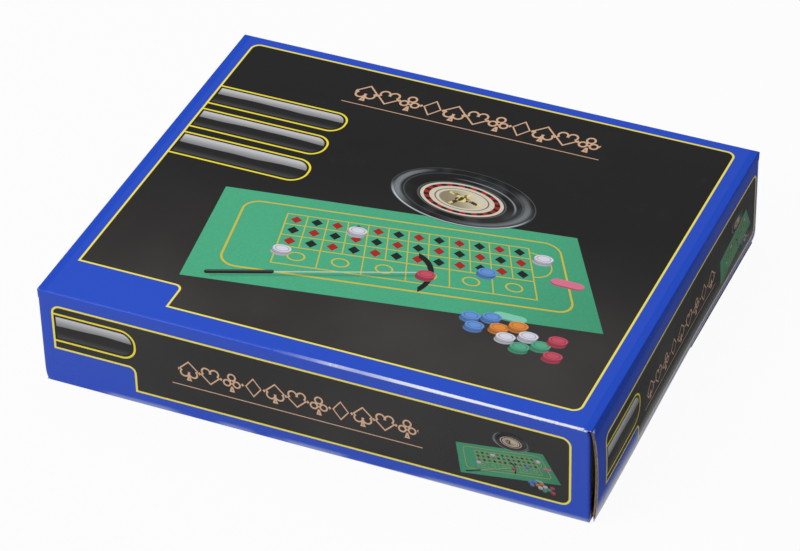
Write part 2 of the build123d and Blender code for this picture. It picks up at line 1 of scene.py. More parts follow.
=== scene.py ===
"""Looks of a printed corrugated carton that holds a roulette set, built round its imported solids."""
import math
import bmesh
import bpy
import numpy as np
from mathutils import Matrix, Vector


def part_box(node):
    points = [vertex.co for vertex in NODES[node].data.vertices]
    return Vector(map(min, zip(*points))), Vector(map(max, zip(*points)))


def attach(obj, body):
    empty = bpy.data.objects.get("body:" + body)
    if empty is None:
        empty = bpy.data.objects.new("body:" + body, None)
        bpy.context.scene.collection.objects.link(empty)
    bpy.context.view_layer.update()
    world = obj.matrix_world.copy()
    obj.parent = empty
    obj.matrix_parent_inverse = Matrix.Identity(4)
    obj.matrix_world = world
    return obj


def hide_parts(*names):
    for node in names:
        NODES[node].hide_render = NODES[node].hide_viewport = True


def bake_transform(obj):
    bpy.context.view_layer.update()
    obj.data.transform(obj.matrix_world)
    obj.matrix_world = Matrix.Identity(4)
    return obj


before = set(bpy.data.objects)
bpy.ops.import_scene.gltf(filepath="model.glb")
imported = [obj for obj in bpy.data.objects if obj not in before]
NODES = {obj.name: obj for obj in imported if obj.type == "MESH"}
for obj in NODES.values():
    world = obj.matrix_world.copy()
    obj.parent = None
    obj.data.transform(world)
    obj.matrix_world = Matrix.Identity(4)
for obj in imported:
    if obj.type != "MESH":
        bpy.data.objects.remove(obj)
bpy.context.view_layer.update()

MM = 0.001

# ---- sizes shared with the solids, mm
CASE_X, CASE_Y, CASE_Z = 160.0, 132.0, 63.0  # half length, half depth and height of the carton
BOARD, FLUTE_PITCH = 2.8, 6.4
EDGE_RADIUS = 1.6  # of the creased long edges
DUST_X, GLUE_Y = 156.8, 129.2  # outer faces of the dust flaps and of the glue flap
WHEEL_X, WHEEL_Y = -24.5, -1.4  # the wheel's axis
RING_RADIUS, POCKETS = 60.2, 37  # the number ring's middle, and its boxes


# ---- shader maths
def operation(name, swapped=False):
    """A method that adds one Math node; `swapped` puts the other value first."""
    def act(wire, other):
        pair = (other, wire) if swapped else (wire, other)
        return wire.finish.math(name, *pair)
    return act


class Wire:
    """A socket of a node tree that is written like a number: each operator adds one Math node."""

    def __init__(self, finish, socket):
        self.finish = finish
        self.socket = socket

    __add__ = __radd__ = operation("ADD")
    __sub__ = operation("SUBTRACT")
    __rsub__ = operation("SUBTRACT", swapped=True)
    __mul__ = __rmul__ = operation("MULTIPLY")
    __truediv__ = operation("DIVIDE")
    __rtruediv__ = operation("DIVIDE", swapped=True)
    least = operation("MINIMUM")
    most = operation("MAXIMUM")

    def __neg__(self):
        return self.finish.math("MULTIPLY", self, -1.0)

    def __abs__(self):
        return self.finish.math("ABSOLUTE", self)

    def root(self):
        return self.finish.math("SQRT", self)


class Finish:
    """One material's node tree. add() puts in any node: its kind, its settings, then its sockets.
    A bent finish reads each point's place before its board was bent, from the attribute unbent."""

    def __init__(self, name, bent=False, store=bpy.data.materials):
        self.material = store.new(name)
        self.material.use_nodes = True
        self.tree = self.material.node_tree
        self.tree.nodes.clear()
        place = self.node("TexCoord")
        self.place = Wire(self, place.outputs["Object"])
        if bent:
            flat = self.node("Attribute")
            flat.attribute_name = "unbent"
            self.place = Wire(self, flat.outputs["Vector"])
        self.uv = Wire(self, place.outputs["UV"])

    def node(self, kind):
        return self.tree.nodes.new("ShaderNode" + kind)

    def use(self, motif, *values):
        """A shared motif's colour, from its inputs in order."""
        return self.add("Group", {"node_tree": motif.tree}, dict(enumerate(values)))

    def set_socket(self, socket, value):
        """Link a wire, or set a number or a colour; a number fills every part of a colour."""
        if isinstance(value, Wire):
            self.tree.links.new(value.socket, socket)
            return
        if socket.type in ("RGBA", "VECTOR"):
            size = len(socket.default_value)
            value = (value,) * size if isinstance(value, (int, float)) else tuple(value)
            value += (1.0,) * (size - len(value))
        socket.default_value = value

    def add(self, kind, settings, sockets, out=0):
        node = self.node(kind)
        for key, value in settings.items():
            setattr(node, key, value)
        for key, value in sockets.items():
            self.set_socket(node.inputs[key], value)
        return Wire(self, node.outputs[out])

    def math(self, operation, *values):
        return self.add("Math", {"operation": operation}, dict(enumerate(values)))

    def axes(self, vector=None):
        """x, y and z of a place, in millimetres."""
        scaled = self.add("VectorMath", {"operation": "SCALE"},
                          {0: vector or self.place, "Scale": 1.0 / MM})
        node = self.node("SeparateXYZ")
        self.set_socket(node.inputs[0], scaled)
        return [Wire(self, socket) for socket in node.outputs]

    def mix(self, mask, under, over):
        """The colour `over` where the mask is 1, and `under` where it is 0."""
        return self.add("Mix", {"data_type": "RGBA", "clamp_factor": True},
                        {0: mask, 6: under, 7: over}, out=2)

    def noise(self, scale, detail=3.0, roughness=0.55, where=None):
        """Fractal noise from 0 to 1; scale counts its lumps in a metre."""
        return self.add("TexNoise", {}, {"Vector": where or self.place, "Scale": scale,
                                         "Detail": detail, "Roughness": roughness})

    def ramp(self, factor, stops):
        """A colour ramp through the stops, each a place from 0 to 1 and a colour."""
        wire = self.add("ValToRGB", {}, {0: factor})
        points = wire.socket.node.color_ramp.elements
        while len(points) < len(stops):
            points.new(0.5)
        for point, (position, colour) in zip(points, stops):
            point.position = position
            point.color = colour + (1.0,)
        return wire

    def smooth(self, value, low, high):
        """0 below low, 1 above high, and a smooth step between; low may be the larger."""
        flip = low > high
        return self.add("MapRange", {"interpolation_type": "SMOOTHSTEP"},
                        {"Value": value, "From Min": min(low, high), "From Max": max(low, high),
                         "To Min": 1.0 if flip else 0.0, "To Max": 0.0 if flip else 1.0})

    def bump(self, height, strength, distance):
        return self.add("Bump", {}, {"Height": height, "Strength": strength, "Distance": distance})

    def ray(self, kind):
        """1 for a ray of that kind and 0 for any other."""
        return Wire(self, self.node("LightPath").outputs[f"Is {kind} Ray"])

    def principled(self, **sockets):
        """The Principled shader; words use _ for a space."""
        return self.add("BsdfPrincipled", {},
                        {key.replace("_", " "): value for key, value in sockets.items()})

    def show(self, shader, kind="OutputMaterial"):
        self.set_socket(self.node(kind).inputs["Surface"], shader)
        return self.material

    def surface(self, **sockets):
        return self.show(self.principled(**sockets))

    def length(self, a, b):
        return (a * a + b * b).root()

    # shapes as distances in mm: below 0 inside, above 0 outside
    def box_distance(self, u, v, left, right, low, high, corner):
        """Distance to a rectangle with round corners."""
        a = abs(u - (left + right) / 2) - ((right - left) / 2 - corner)
        b = abs(v - (low + high) / 2) - ((high - low) / 2 - corner)
        return self.length(a.most(0.0), b.most(0.0)) + a.most(b).least(0.0) - corner

    def disc_distance(self, u, v, x, y, radius, squeeze=1.0):
        """Distance to a disc, or to an ellipse whose height is `squeeze` of its width."""
        return self.length(u - x, (v - y) / squeeze) - radius

    def inside(self, distance, soft=0.12):
        return self.smooth(distance, soft, -soft)

    def line(self, distance, half, soft=0.12):
        """1 on a line of that half width along the distance's zero."""
        return self.smooth(abs(distance) - half, soft, -soft)


class Motif(Finish):
    """A drawing that finishes share: a node group with named inputs and one output."""

    def __init__(self, name, numbers, colours, out="Colour"):
        self.tree = bpy.data.node_groups.new(name, "ShaderNodeTree")
        sockets = [(word, "INPUT", "Float") for word in numbers]
        sockets += [(word, "INPUT", "Color") for word in colours]
        sockets.append((out, "OUTPUT", "Color" if out == "Colour" else "Float"))
        for word, way, kind in sockets:
            self.tree.interface.new_socket(name=word, in_out=way, socket_type="NodeSocket" + kind)
        entry = self.tree.nodes.new("NodeGroupInput")
        self.given = [Wire(self, socket) for socket in entry.outputs if socket.name]
        self.place = Wire(self, self.node("TexCoord").outputs["Object"])

    def result(self, wire):
        leave = self.tree.nodes.new("NodeGroupOutput")
        self.tree.links.new(wire.socket, leave.inputs[0])
        return self


def srgb(red, green, blue):
    """A colour from 0-255 steps to the linear values that a socket takes."""
    steps = np.array([red, green, blue]) / 255.0
    return tuple(np.where(steps <= 0.04045, steps / 12.92, ((steps + 0.055) / 1.055) ** 2.4))


# ---- printed layout, shared motifs
PRINT_BLUE = (0.022, 0.082, 0.61)
PRINT_SKY = (0.035, 0.12, 0.7)
PRINT_BLACK = (0.005, 0.0045, 0.0045)
PRINT_YELLOW = srgb(255, 236, 62)
PRINT_PALE = srgb(255, 244, 150)
PRINT_ROSE = srgb(226, 184, 152)
FELT_GREEN = srgb(80, 182, 138)
FELT_GOLD = srgb(222, 196, 66)
PIP_RED = srgb(176, 40, 34)
PIP_BLACK = srgb(20, 26, 24)


def card_suits():
    """The four card suits as lines of even width: hearts and spades are two discs and a square on
    its corner, clubs three discs, diamonds a rhombus."""
    f = Motif("card_suits", ("across", "up", "suit"), (), "Mask")
    a, b, suit = f.given
    side = abs(a)
    stem = (side - 0.05 - (-b - 0.35) * 0.26).most(abs(b + 0.7) - 0.26)

    def heart(h):
        lobes = f.length(side - 0.36, h - 0.34) - 0.4
        return lobes.least(((side * 0.86 + abs(h + 0.02) * 0.86) - 0.7).most(h - 0.34))

    spade = heart(-b + 0.1).least(stem)
    club = (f.length(side - 0.4, b + 0.16) - 0.34).least(f.length(a, b - 0.44) - 0.36)
    club = club.least(f.length(a, b) - 0.22).least(stem)
    diamond = side * 1.15 + abs(b) * 0.85 - 0.78
    total = 0.0
    for number, shape in enumerate((spade, heart(b), club, diamond)):
        here = f.inside(abs(suit - number) - 0.5, 0.01)
        total = f.line(shape + 0.06, 0.072, 0.018) * here + total
    return f.result(total)


def card_pips(f, u, v, left, right, low, high, count):
    """A row of `count` suits between left and right, with a small lozenge between neighbours."""
    pitch = (right - left) / count
    half = (high - low) / 2
    cell = (u - left) / pitch
    index = f.math("FLOOR", cell)
    near = cell - index - 0.5
    b = (v - (low + high) / 2) / half
    suit = f.math("MODULO", index + 4.0, 4.0)
    pips = f.use(CARD_SUITS, near * (pitch / half), b, suit)
    gap = (0.5 - abs(near)) * (pitch / half)
    dots = f.inside(abs(gap) * 1.2 + abs(b) - 0.16, 0.02)
    span = (right - left) / 2
    row = f.inside(abs(u - (left + right) / 2) - span + 0.01, 0.01)
    return pips.most(dots) * row


def felt_map(corners):
    """The eight numbers of the perspective map from four corners (left back, right back, right
    front, left front) to the unit square."""
    target = [(0, 1), (1, 1), (1, 0), (0, 0)]
    rows, values = [], []
    for (x, y), (s, t) in zip(corners, target):
        rows += [[x, y, 1, 0, 0, 0, -s * x, -s * y], [0, 0, 0, x, y, 1, -t * x, -t * y]]
        values += [s, t]
    return np.linalg.solve(np.array(rows, float), np.array(values, float))


def lozenge_grid(f, p, q, box, corner, slope, colours, width, under):
    """12 by 3 boxes with a lozenge each, black and red by turns. Gives the lozenges over `under`,
    the mask of the lines between the boxes and the distance to the grid. `slope` holds a lozenge's
    slant along and across and its reach, `width` the lines' half width and softness."""
    left, right, low, high = box
    grid = f.box_distance(p, q, left, right, low, high, corner)
    wide, tall = (right - left) / 12, (high - low) / 3
    cell_p = (p - left) / wide
    cell_q = (q - low) / tall
    off_p = abs(f.math("FRACT", cell_p) - 0.5)
    off_q = abs(f.math("FRACT", cell_q) - 0.5)
    lines = f.line((off_p - 0.5) * wide, *width).most(f.line((off_q - 0.5) * tall, *width))
    lozenge = f.inside(off_p * slope[0] + off_q * slope[1] - slope[2], 0.02)
    parity = f.math("MODULO", f.math("FLOOR", cell_p) + f.math("FLOOR", cell_q) + 20.0, 2.0)
    pips = f.mix(f.inside(parity - 0.5, 0.01), *colours)
    return f.mix(f.inside(grid) * lozenge, under, pips), lines, grid


def table_cloth(f, u, v, under):
    """The green cloth in perspective over `under`, with its own drawing on a table of 200 by 82: a
    border, the grid of lozenges, a row of rings below it and a half ring at its right end."""
    a, b, c, d, e, g, h, k = felt_map([(-105, -10), (94, 18), (137, -55), (-94, -92)])
    below = u * h + v * k + 1.0
    p = (u * a + v * b + c) / below * 200.0
    q = (u * d + v * e + g) / below * 82.0
    cloth = f.inside(f.box_distance(p, q, 0.0, 200.0, 0.0, 82.0, 0.5))
    grain = f.noise(900.0, 2.0) * 0.28 + f.noise(9.0, 2.0) * 0.16
    tone = 1.18 - grain - f.smooth(u, 40.0, 150.0) * 0.2
    ground = f.mix(tone, (0.0, 0.0, 0.0), FELT_GREEN)
    drawn, lines, grid = lozenge_grid(f, p, q, (38.0, 170.0, 34.0, 64.0), 0.2, (1.15, 0.95, 0.33),
                                      (PIP_BLACK, PIP_RED), (0.3, 0.12), ground)
    border = f.box_distance(p, q, 14.0, 188.0, 12.0, 72.0, 9.0)
    fields = f.box_distance(p, q, 38.0, 170.0, 19.0, 34.0, 0.2)
    off_field = f.math("FRACT", (p - 38.0) / 22.0) - 0.5
    field_lines = f.line((abs(off_field) - 0.5) * 22.0, 0.3)
    field_ring = f.disc_distance(off_field * 22.0, q - 26.5, 0.0, 0.0, 4.2, 0.8)
    half_ring = f.disc_distance(p, q, 170.0, 49.0, 11.0)
    gold = f.line(border, 0.55).most(f.inside(grid - 0.3) * lines).most(f.line(grid, 0.35))
    ruled = f.inside(fields) * field_lines.most(f.line(field_ring, 0.45))
    gold = gold.most(f.line(fields, 0.35)).most(ruled)
    gold = gold.most(f.line(half_ring, 0.35) * f.inside(170.0 - p))
    return f.mix(cloth, under, f.mix(gold, drawn, FELT_GOLD)), cloth


def table_wheel(f, u, v, under):
    """The wheel seen at a slant: an ellipse whose rings are parts of its own radius."""
    turn = -0.06
    wu = (u - 22.0) * math.cos(turn) + (v - 29.0) * math.sin(turn)
    wv = (v - 29.0) * math.cos(turn) - (u - 22.0) * math.sin(turn)
    rim = (wu * wu + wv * wv * 3.2).root()
    flare = f.smooth(f.noise(60.0, 1.0), 0.45, 0.7) * 0.03
    edge_light = f.smooth(wu * 0.8 - wv * 0.6, 4.0, 34.0) * f.smooth(abs(rim - 38.2), 3.2, 0.6)
    left_light = f.smooth(-wu, 22.0, 38.0) * f.smooth(abs(rim - 39.5), 3.0, 0.8) * 0.22
    under_light = f.smooth(wv, 0.0, -14.0) * f.smooth(abs(rim - 42.2), 1.0, 0.2) * 0.62
    light = (edge_light * 0.17).most(left_light) + under_light + flare
    flange = f.mix(light, (0.004, 0.004, 0.005), (0.9, 1.0, 1.05))
    wheel = f.mix(f.inside(rim - 43.5), under, flange)
    wheel = f.mix(f.line(rim - 43.0, 0.2, 0.3) * 0.2, wheel, (0.5, 0.55, 0.58))
    wheel = f.mix(f.line(rim - 35.5, 0.35, 0.4) * 0.45, wheel, (0.16, 0.17, 0.18))
    # the bowl and the rotor, whose rings lie a little lower
    low = wv + 1.6
    inner = (wu * wu + low * low * 3.4).root()
    bowl_glow = f.smooth(wu - wv, 20.0, 60.0) * 0.05 + flare
    bowl = f.mix(bowl_glow, (0.003, 0.003, 0.004), (1.0, 1.0, 1.0))
    wheel = f.mix(f.inside(inner - 33.0, 0.4), wheel, bowl)
    lip_gleam = f.line(inner - 31.8, 0.5, 0.5) * f.smooth(wu * 0.4 + wv, 8.0, 17.0)
    wheel = f.mix(lip_gleam * 0.55, wheel, (0.55, 0.6, 0.63))
    wheel = f.mix(f.line(inner - 26.2, 0.5, 0.4) * 0.5, wheel, (0.22, 0.22, 0.23))
    wheel = f.mix(f.inside(inner - 25.0), wheel, srgb(222, 214, 196))
    angle = f.math("ARCTAN2", low * 1.84, wu)
    sector = f.math("FRACT", angle * (18.0 / math.tau) + 18.0)
    pocket = f.mix(f.inside(sector - 0.5, 0.03), PIP_BLACK, PIP_RED)
    wheel = f.mix(f.inside(abs(inner - 21.2) - 1.7), wheel, pocket)
    wheel = f.mix(f.line(inner - 16.0, 0.4), wheel, srgb(120, 96, 60))
    cone = f.mix(f.smooth(wu + wv, -12.0, 12.0), srgb(150, 138, 112), srgb(226, 216, 192))
    wheel = f.mix(f.inside(inner - 13.5), wheel, cone)
    star = abs(wu * 0.35 + wv * 1.2).least(abs(wu * 0.9 - wv * 0.55)) - 1.3
    gilt = f.inside(star.most(inner - 12.0)).most(f.inside(inner - 4.2))
    gleam = f.smooth(f.noise(420.0, 1.0), 0.42, 0.58)
    return f.mix(gilt, wheel, f.mix(gleam, srgb(70, 50, 16), srgb(244, 226, 150)))


def table_rake(f, u, v, cloth, under):
    """A rake: a thick dark grip, a thin pale shaft and a curved dark blade across its end."""
    lean = math.atan2(46.0, 118.0)
    ru = (u + 66.0) * math.cos(lean) + (v + 78.0) * math.sin(lean)
    rv = (v + 78.0) * math.cos(lean) - (u + 66.0) * math.sin(lean)
    grip = f.box_distance(ru, rv, -18.0, 20.0, -1.7, 1.7, 1.6)
    shaft = f.box_distance(ru, rv, 18.0, 104.0, -0.45, 0.45, 0.3)
    blade = (abs(f.disc_distance(ru, rv, 88.0, 0.0, 17.0, 1.1)) - 1.6).most(98.0 - ru)
    shade = f.box_distance(ru - 1.0, rv + 3.0, -16.0, 100.0, -0.9, 0.9, 0.8)
    colour = f.mix(f.inside(shade, 0.9) * 0.3 * cloth, under, (0.01, 0.03, 0.02))
    colour = f.mix(f.inside(shaft, 0.2), colour, srgb(206, 208, 196))
    colour = f.mix(f.inside(grip.least(blade), 0.2), colour, (0.006, 0.006, 0.007))
    return f.mix(f.line(grip + 1.0, 0.25, 0.3) * f.smooth(rv, 0.0, 0.8) * 0.5, colour,
                 (0.3, 0.3, 0.32))


DRAWN_PLAQUES = ((104.0, -22.0, srgb(232, 122, 152)), (86.0, -60.0, srgb(136, 212, 186)))
CHIP_TINTS = {"blue": srgb(108, 156, 226), "orange": srgb(236, 148, 70),
              "white": srgb(228, 228, 242), "green": srgb(92, 178, 144), "red": srgb(206, 84, 104)}
DRAWN_CHIPS = ((66, -66, "blue"), (77, -63, "blue"), (71, -73, "blue"), (84, -70, "orange"),
               (93, -65, "orange"), (90, -76, "white"), (101, -71, "white"), (100, -81, "green"),
               (110, -76, "green"), (117, -69, "red"), (119, -82, "red"), (-20, -20, "white"),
               (30, -42, "red"), (60, -28, "blue"), (84, -6, "white"), (-52, -50, "white"))


def printed_table():
    """The printed still life in the lid's own millimetres: the cloth, a wheel, a rake, two oval
    plaques and round chips, the later ones over the earlier."""
    f = Motif("printed_table", ("across", "up"), ("under",))
    u, v, colour = f.given
    colour, cloth = table_cloth(f, u, v, colour)
    colour = table_wheel(f, u, v, colour)
    colour = table_rake(f, u, v, cloth, colour)
    for x, y, tint in DRAWN_PLAQUES:
        edge = tuple(0.5 * part for part in tint)
        for drop, tone in ((1.1, edge), (0.0, tint)):
            oval = f.box_distance(u - x, (v - y + drop) * 1.7, -9.5, 9.5, -4.4, 4.4, 4.3)
            colour = f.mix(f.inside(oval, 0.3), colour, tone)
    for x, y, word in DRAWN_CHIPS:
        colour = f.use(DRAWN_CHIP, u - x, v - y, colour, CHIP_TINTS[word])
    return f.result(colour)


def drawn_chip():
    """One printed chip: an ellipse over a darker copy of it set lower, with a thin inner ring."""
    f = Motif("drawn_chip", ("across", "up"), ("under", "tint"))
    u, v, under, tint = f.given
    radius, squeeze, thick = 5.4, 0.58, 3.4
    face = f.disc_distance(u, v, 0.0, 0.0, radius, squeeze)
    foot = f.disc_distance(u, v, 0.0, -thick, radius, squeeze)
    side = foot.least(f.box_distance(u, v, -radius, radius, -thick, 0.0, 0.1))
    seam = f.line(f.disc_distance(u, v, 0.0, -thick / 2, radius, squeeze), 0.25, 0.2)
    dark = f.mix(seam * 0.35 + 0.4, tint, (0.0, 0.0, 0.0))
    colour = f.mix(f.inside(side, 0.2), under, dark)
    colour = f.mix(f.inside(face, 0.2), colour, tint)
    return f.result(f.mix(f.line(face + 1.5, 0.35, 0.2), colour, f.mix(0.4, tint, (0.0, 0.0, 0.0))))


def gloss_banner(f, u, v, field, left, right, low, high, under):
    """A pill without words, cut off by the field's left end: a yellow line, a black margin and a
    gloss whose bright crown ends in a sharp, slightly wavy edge."""
    tall = high - low
    pill = f.box_distance(u, v, left - 60.0, right, low, high, tall * 0.46).most(field)
    rise = (v - low) / tall
    wave = f.noise(28.0, 1.0) * 0.22 + 0.46
    body = f.ramp(rise, [(0.0, (0.3, 0.3, 0.31)), (0.1, (0.06, 0.06, 0.062)),
                         (0.3, (0.01, 0.01, 0.011)), (1.0, (0.004, 0.004, 0.005))])
    crown = f.ramp(rise, [(0.48, (0.17, 0.17, 0.175)), (0.66, (0.34, 0.34, 0.35)),
                          (0.84, (0.62, 0.62, 0.65)), (1.0, (0.68, 0.68, 0.71))])
    gloss = f.mix(f.smooth(rise - wave, -0.015, 0.015), body, crown)
    colour = f.mix(f.inside(pill), under, PRINT_BLACK)
    colour = f.mix(f.inside(pill + 1.9, 0.25), colour, gloss)
    return f.mix(f.line(pill, 0.6), colour, PRINT_YELLOW)


def printed_face(f, u, v, field, notch, pips, rule, banners, picture, haze):
    """One printed side: a blue border, a yellow line round a near-black field, gloss banners, card
    suits over a thin rule, and the still life. In mm, field: left, right, low, high; notch: right
    end and top of the blue step; pips: left, right, low, high, count; rule: left, right, height;
    banners: right end, low, high; picture: x, y, size beside the lid's, darkening. `haze` is how
    far the black lightens towards a warm grey."""
    left = field[0]
    field = f.box_distance(u, v, *field, 5.0)
    field = field.most(-f.box_distance(u, v, -400.0, notch[0], -400.0, notch[1], 4.0))
    cloud = f.noise(7.0, 3.0, 0.6)
    fleck = f.noise(45.0, 4.0, 0.7)
    warm = (f.smooth(cloud, 0.35, 0.75) * 0.7 + 0.5) * haze + f.smooth(fleck, 0.55, 0.8) * 0.006
    black = f.mix(warm, PRINT_BLACK, (1.0, 0.92, 0.88))
    blue = f.mix(cloud * 0.18, PRINT_BLUE, PRINT_SKY)
    colour = f.mix(f.inside(field), blue, black)
    x, y, size, shade = picture
    table = f.use(PRINTED_TABLE, (u - x) / size, (v - y) / size, colour)
    colour = f.mix(f.inside(field + 1.0), colour, f.mix(shade, table, PRINT_BLACK))
    for banner in banners:
        colour = gloss_banner(f, u, v, field, left, *banner, colour)
    colour = f.mix(card_pips(f, u, v, *pips), colour, PRINT_ROSE)
    start, stop, height = rule
    bar = f.box_distance(u, v, start, stop, height - 0.28, height + 0.28, 0.2)
    colour = f.mix(f.inside(bar), colour, PRINT_ROSE)
    colour = f.mix(f.line(field, 0.62), colour, PRINT_YELLOW)
    return f.mix(f.line(field, 0.2, 0.2), colour, PRINT_PALE)


CARD_SUITS = card_suits()
DRAWN_CHIP = drawn_chip()
PRINTED_TABLE = printed_table()


def lid_print(f, x, y, z):
    return printed_face(
        f, x, y, field=(-150.2, 148.4, -119.5, 124.2), notch=(-87.8, -100.7),
        pips=(-75.5, 75.5, 94.0, 110.5, 11), rule=(-79.3, 78.9, 90.2),
        banners=((-67.4, 59.8, 78.0), (-68.4, 35.3, 53.6), (-67.8, 8.3, 29.1)),
        picture=(0.0, 0.0, 1.0, 0.0), haze=f.smooth(y, 40.0, -115.0) * 0.038 + 0.002)


def long_side_print(f, x, y, z):
    """The front's print; the back's runs the other way, so that it reads from there too."""
    across = x * (1.0 - f.inside(-y, 1.0) * 2.0)
    return printed_face(
        f, across, z, field=(-151.8, 148.4, 9.0, 53.9), notch=(-103.3, 25.0),
        pips=(-77.0, 63.1, 25.9, 40.0, 11), rule=(-81.1, 65.4, 22.1),
        banners=((-102.6, 30.3, 48.6),), picture=(110.0, 35.0, 0.245, 0.3), haze=0.03)


def end_print(f, x, y, z):
    """The right end's print, and the left end's turned round in the same way."""
    across = y * (f.inside(-x, 1.0) * 2.0 - 1.0)
    return printed_face(
        f, across, z, field=(-118.6, 127.7, 8.2, 50.2), notch=(-67.3, 18.9),
        pips=(-55.2, 59.6, 22.3, 34.9, 9), rule=(-57.0, 61.0, 20.0),
        banners=((-66.6, 23.5, 43.3),), picture=(91.0, 32.0, 0.22, 0.3), haze=0.012)


def plain_blue(f, *place):
    return f.mix(f.noise(7.0, 3.0, 0.6) * 0.2, PRINT_BLUE, PRINT_SKY)


def bare_liner(f, *place):
    """Clay-coated paper without print: pale grey with long, faint fibres."""
    return f.mix(f.noise(120.0, 4.0, 0.65) * 0.8, (0.5, 0.5, 0.5), (0.68, 0.68, 0.67))


def board_section(f, along, across, depth):
    """The board below its outer liner: the white liner's edge, the flutes where a cut looks along
    them (`across` is 1), with the hollows between them painted near black as shade, or streaks where
    it looks at their sides, and the brown inner liner."""
    wave = f.math("SINE", along * (math.tau / FLUTE_PITCH)) * 0.95
    paper = f.smooth(abs(depth - BOARD / 2 - wave), 0.34, 0.2)
    fibre = f.noise(260.0, 5.0, 0.7)
    brown = f.mix(fibre, (0.185, 0.13, 0.085), (0.37, 0.285, 0.205))
    # the hollow channels between the flute paper are painted near black: painted shade
    fluted = f.mix(paper, (0.03, 0.018, 0.01), brown)
    side_on = f.mix(f.smooth(f.noise(700.0, 2.0), 0.35, 0.65), (0.1, 0.07, 0.045), brown)
    white = f.mix(fibre * 0.3, (0.74, 0.73, 0.7), (0.52, 0.49, 0.44))
    inner = f.mix(f.noise(34.0, 5.0, 0.7) * 0.7, (0.42, 0.285, 0.17), (0.31, 0.203, 0.118))
    colour = f.mix(f.smooth(depth, 0.3, 0.38), white, f.mix(across, side_on, fluted))
    return f.mix(f.smooth(depth, 2.42, 2.5), colour, inner)


def film_wear(f, x, y, z, patch):
    """Two masks: specks and cracks where the film has broken on the long creases and at the
    corners, more to the front right; and the streak on the front's top crease, partly broken film
    and partly a painted highlight on the rounded crease."""
    corner = abs(z - CASE_Z / 2) - CASE_Z / 2 + abs(y) - CASE_Y
    crack = f.noise(650.0, 4.0, 0.75)
    front = f.smooth(-y, 0.0, 100.0)
    worse = f.smooth(x, -150.0, 165.0) * front
    specks = f.smooth(crack * 0.62 + patch * 0.55 + worse * 0.24, 0.8, 0.86)
    specks = specks * f.smooth(corner, -1.7, -0.8)
    tip = f.smooth((abs(x) - CASE_X) * 0.9 + corner * 0.45, -2.3, -1.0)
    specks = specks.most(f.smooth(crack, 0.38, 0.48) * tip)
    thin = abs(corner + 0.95) - f.smooth(x, 150.0, 40.0) * 0.16
    crease_wear_and_highlight = f.smooth(thin, 0.3, 0.1) * f.smooth(x + patch * 90.0, 20.0, 120.0) * front
    return specks, crease_wear_and_highlight * f.smooth(crack + f.smooth(x, 150.0, 60.0) * 0.2, 0.3, 0.44)


def corrugated(name, wrap, flute_axis, paint, sheen, bent=False, foot=False):
    """Corrugated board seen from every side. `wrap` gives minus the depth below the outer liner,
    which takes the print; cuts square to `flute_axis` look along the flutes. `sheen` is how much
    the film reflects. With `foot` it turns glossy, and at the front, where it curls under, a painted
    reflection of the table makes it pale."""
    f = Finish(name, bent)
    x, y, z = f.axes()
    depth = -wrap(f, x, y, z)
    normal = Wire(f, f.node("TexCoord").outputs["Normal"])
    across = f.smooth(abs(f.add("SeparateXYZ", {}, {0: normal}, out=flute_axis)), 0.5, 0.8)
    section = board_section(f, y if flute_axis == 0 else z, across, depth)
    outside = f.smooth(depth, 0.16, 0.1)
    patch = f.noise(26.0, 2.0, 0.6)
    specks, crease_wear_and_highlight = film_wear(f, x, y, z, patch)
    printed = f.mix(specks * 0.85, paint(f, x, y, z), (0.72, 0.76, 0.84))
    # the near-white streak on the front's top crease: partly broken film, partly a painted highlight
    printed = f.mix(crease_wear_and_highlight * 0.95, printed, (0.94, 0.96, 1.0))
    # the lowest millimetres are paler, partly rubbed film and partly a painted reflection of the
    # table where the board rounds under, most at the front's right
    above = f.smooth(z, 0.9, 1.3)
    front_scuff_and_reflection = f.smooth(x, 50.0, 110.0) * f.smooth(-y, 125.0, 131.0) * 0.42
    rub_and_painted_reflection = f.smooth(patch + f.noise(12.0, 2.0) * 0.5 + front_scuff_and_reflection, 0.62, 0.86)
    rub_and_painted_reflection = above * f.smooth(z, 4.2, 1.6) * rub_and_painted_reflection
    printed = f.mix(rub_and_painted_reflection * 0.52, printed, (0.55, 0.64, 0.84))
    gloss = 0.0
    if foot:
        # painted reflection: the end panel's foot turns pale white-blue towards the front, where it
        # curls under
        pale = f.smooth(z, 15.0, 3.0) * f.smooth(y, -20.0, -110.0) * above
        printed = f.mix(pale * 0.5, printed, (0.62, 0.74, 0.96))
        more_front = f.smooth(y, 90.0, -120.0) * 0.7 + 0.3
        gloss = f.smooth(z, 18.0, 5.0) * more_front * outside * above
    film = f.noise(240.0, 1.0) * 0.25 + f.noise(48.0, 2.0, 0.5)
    least_rough = 0.26 if sheen > 0.1 else 0.42
    film_rough = f.smooth(f.noise(22.0, 4.0, 0.7), 0.3, 0.8) * 0.1 + least_rough
    film_rough = film_rough + specks.most(crease_wear_and_highlight) * 0.4
    relief = outside * film * 0.5 + (1.0 - outside) * f.noise(1500.0, 3.0, 0.6)
    return f.surface(Base_Color=f.mix(outside, section, printed),
                     Roughness=outside * film_rough + (1.0 - outside) * 0.86,
                     Coat_Weight=gloss, Coat_Roughness=0.1, Coat_IOR=2.2 if foot else 1.5,
                     Normal=f.bump(relief, 0.25, 0.0005), Specular_IOR_Level=sheen)


def sleeve_depth(f, x, y, z):
    return f.box_distance(y, z, -CASE_Y, CASE_Y, 0.0, CASE_Z, EDGE_RADIUS)


def end_depth(f, x, y, z):
    """The end panel with its tuck flap, which lies 3.6 mm above the table."""
    return f.box_distance(x, z, -CASE_X, CASE_X, 3.6, CASE_Z, EDGE_RADIUS)


def dust_depth(f, x, y, z):
    return f.box_distance(x, y, -DUST_X, DUST_X, -CASE_Y, CASE_Y, EDGE_RADIUS)


def glue_depth(f, x, y, z):
    return (y - GLUE_Y).most(-BOARD)


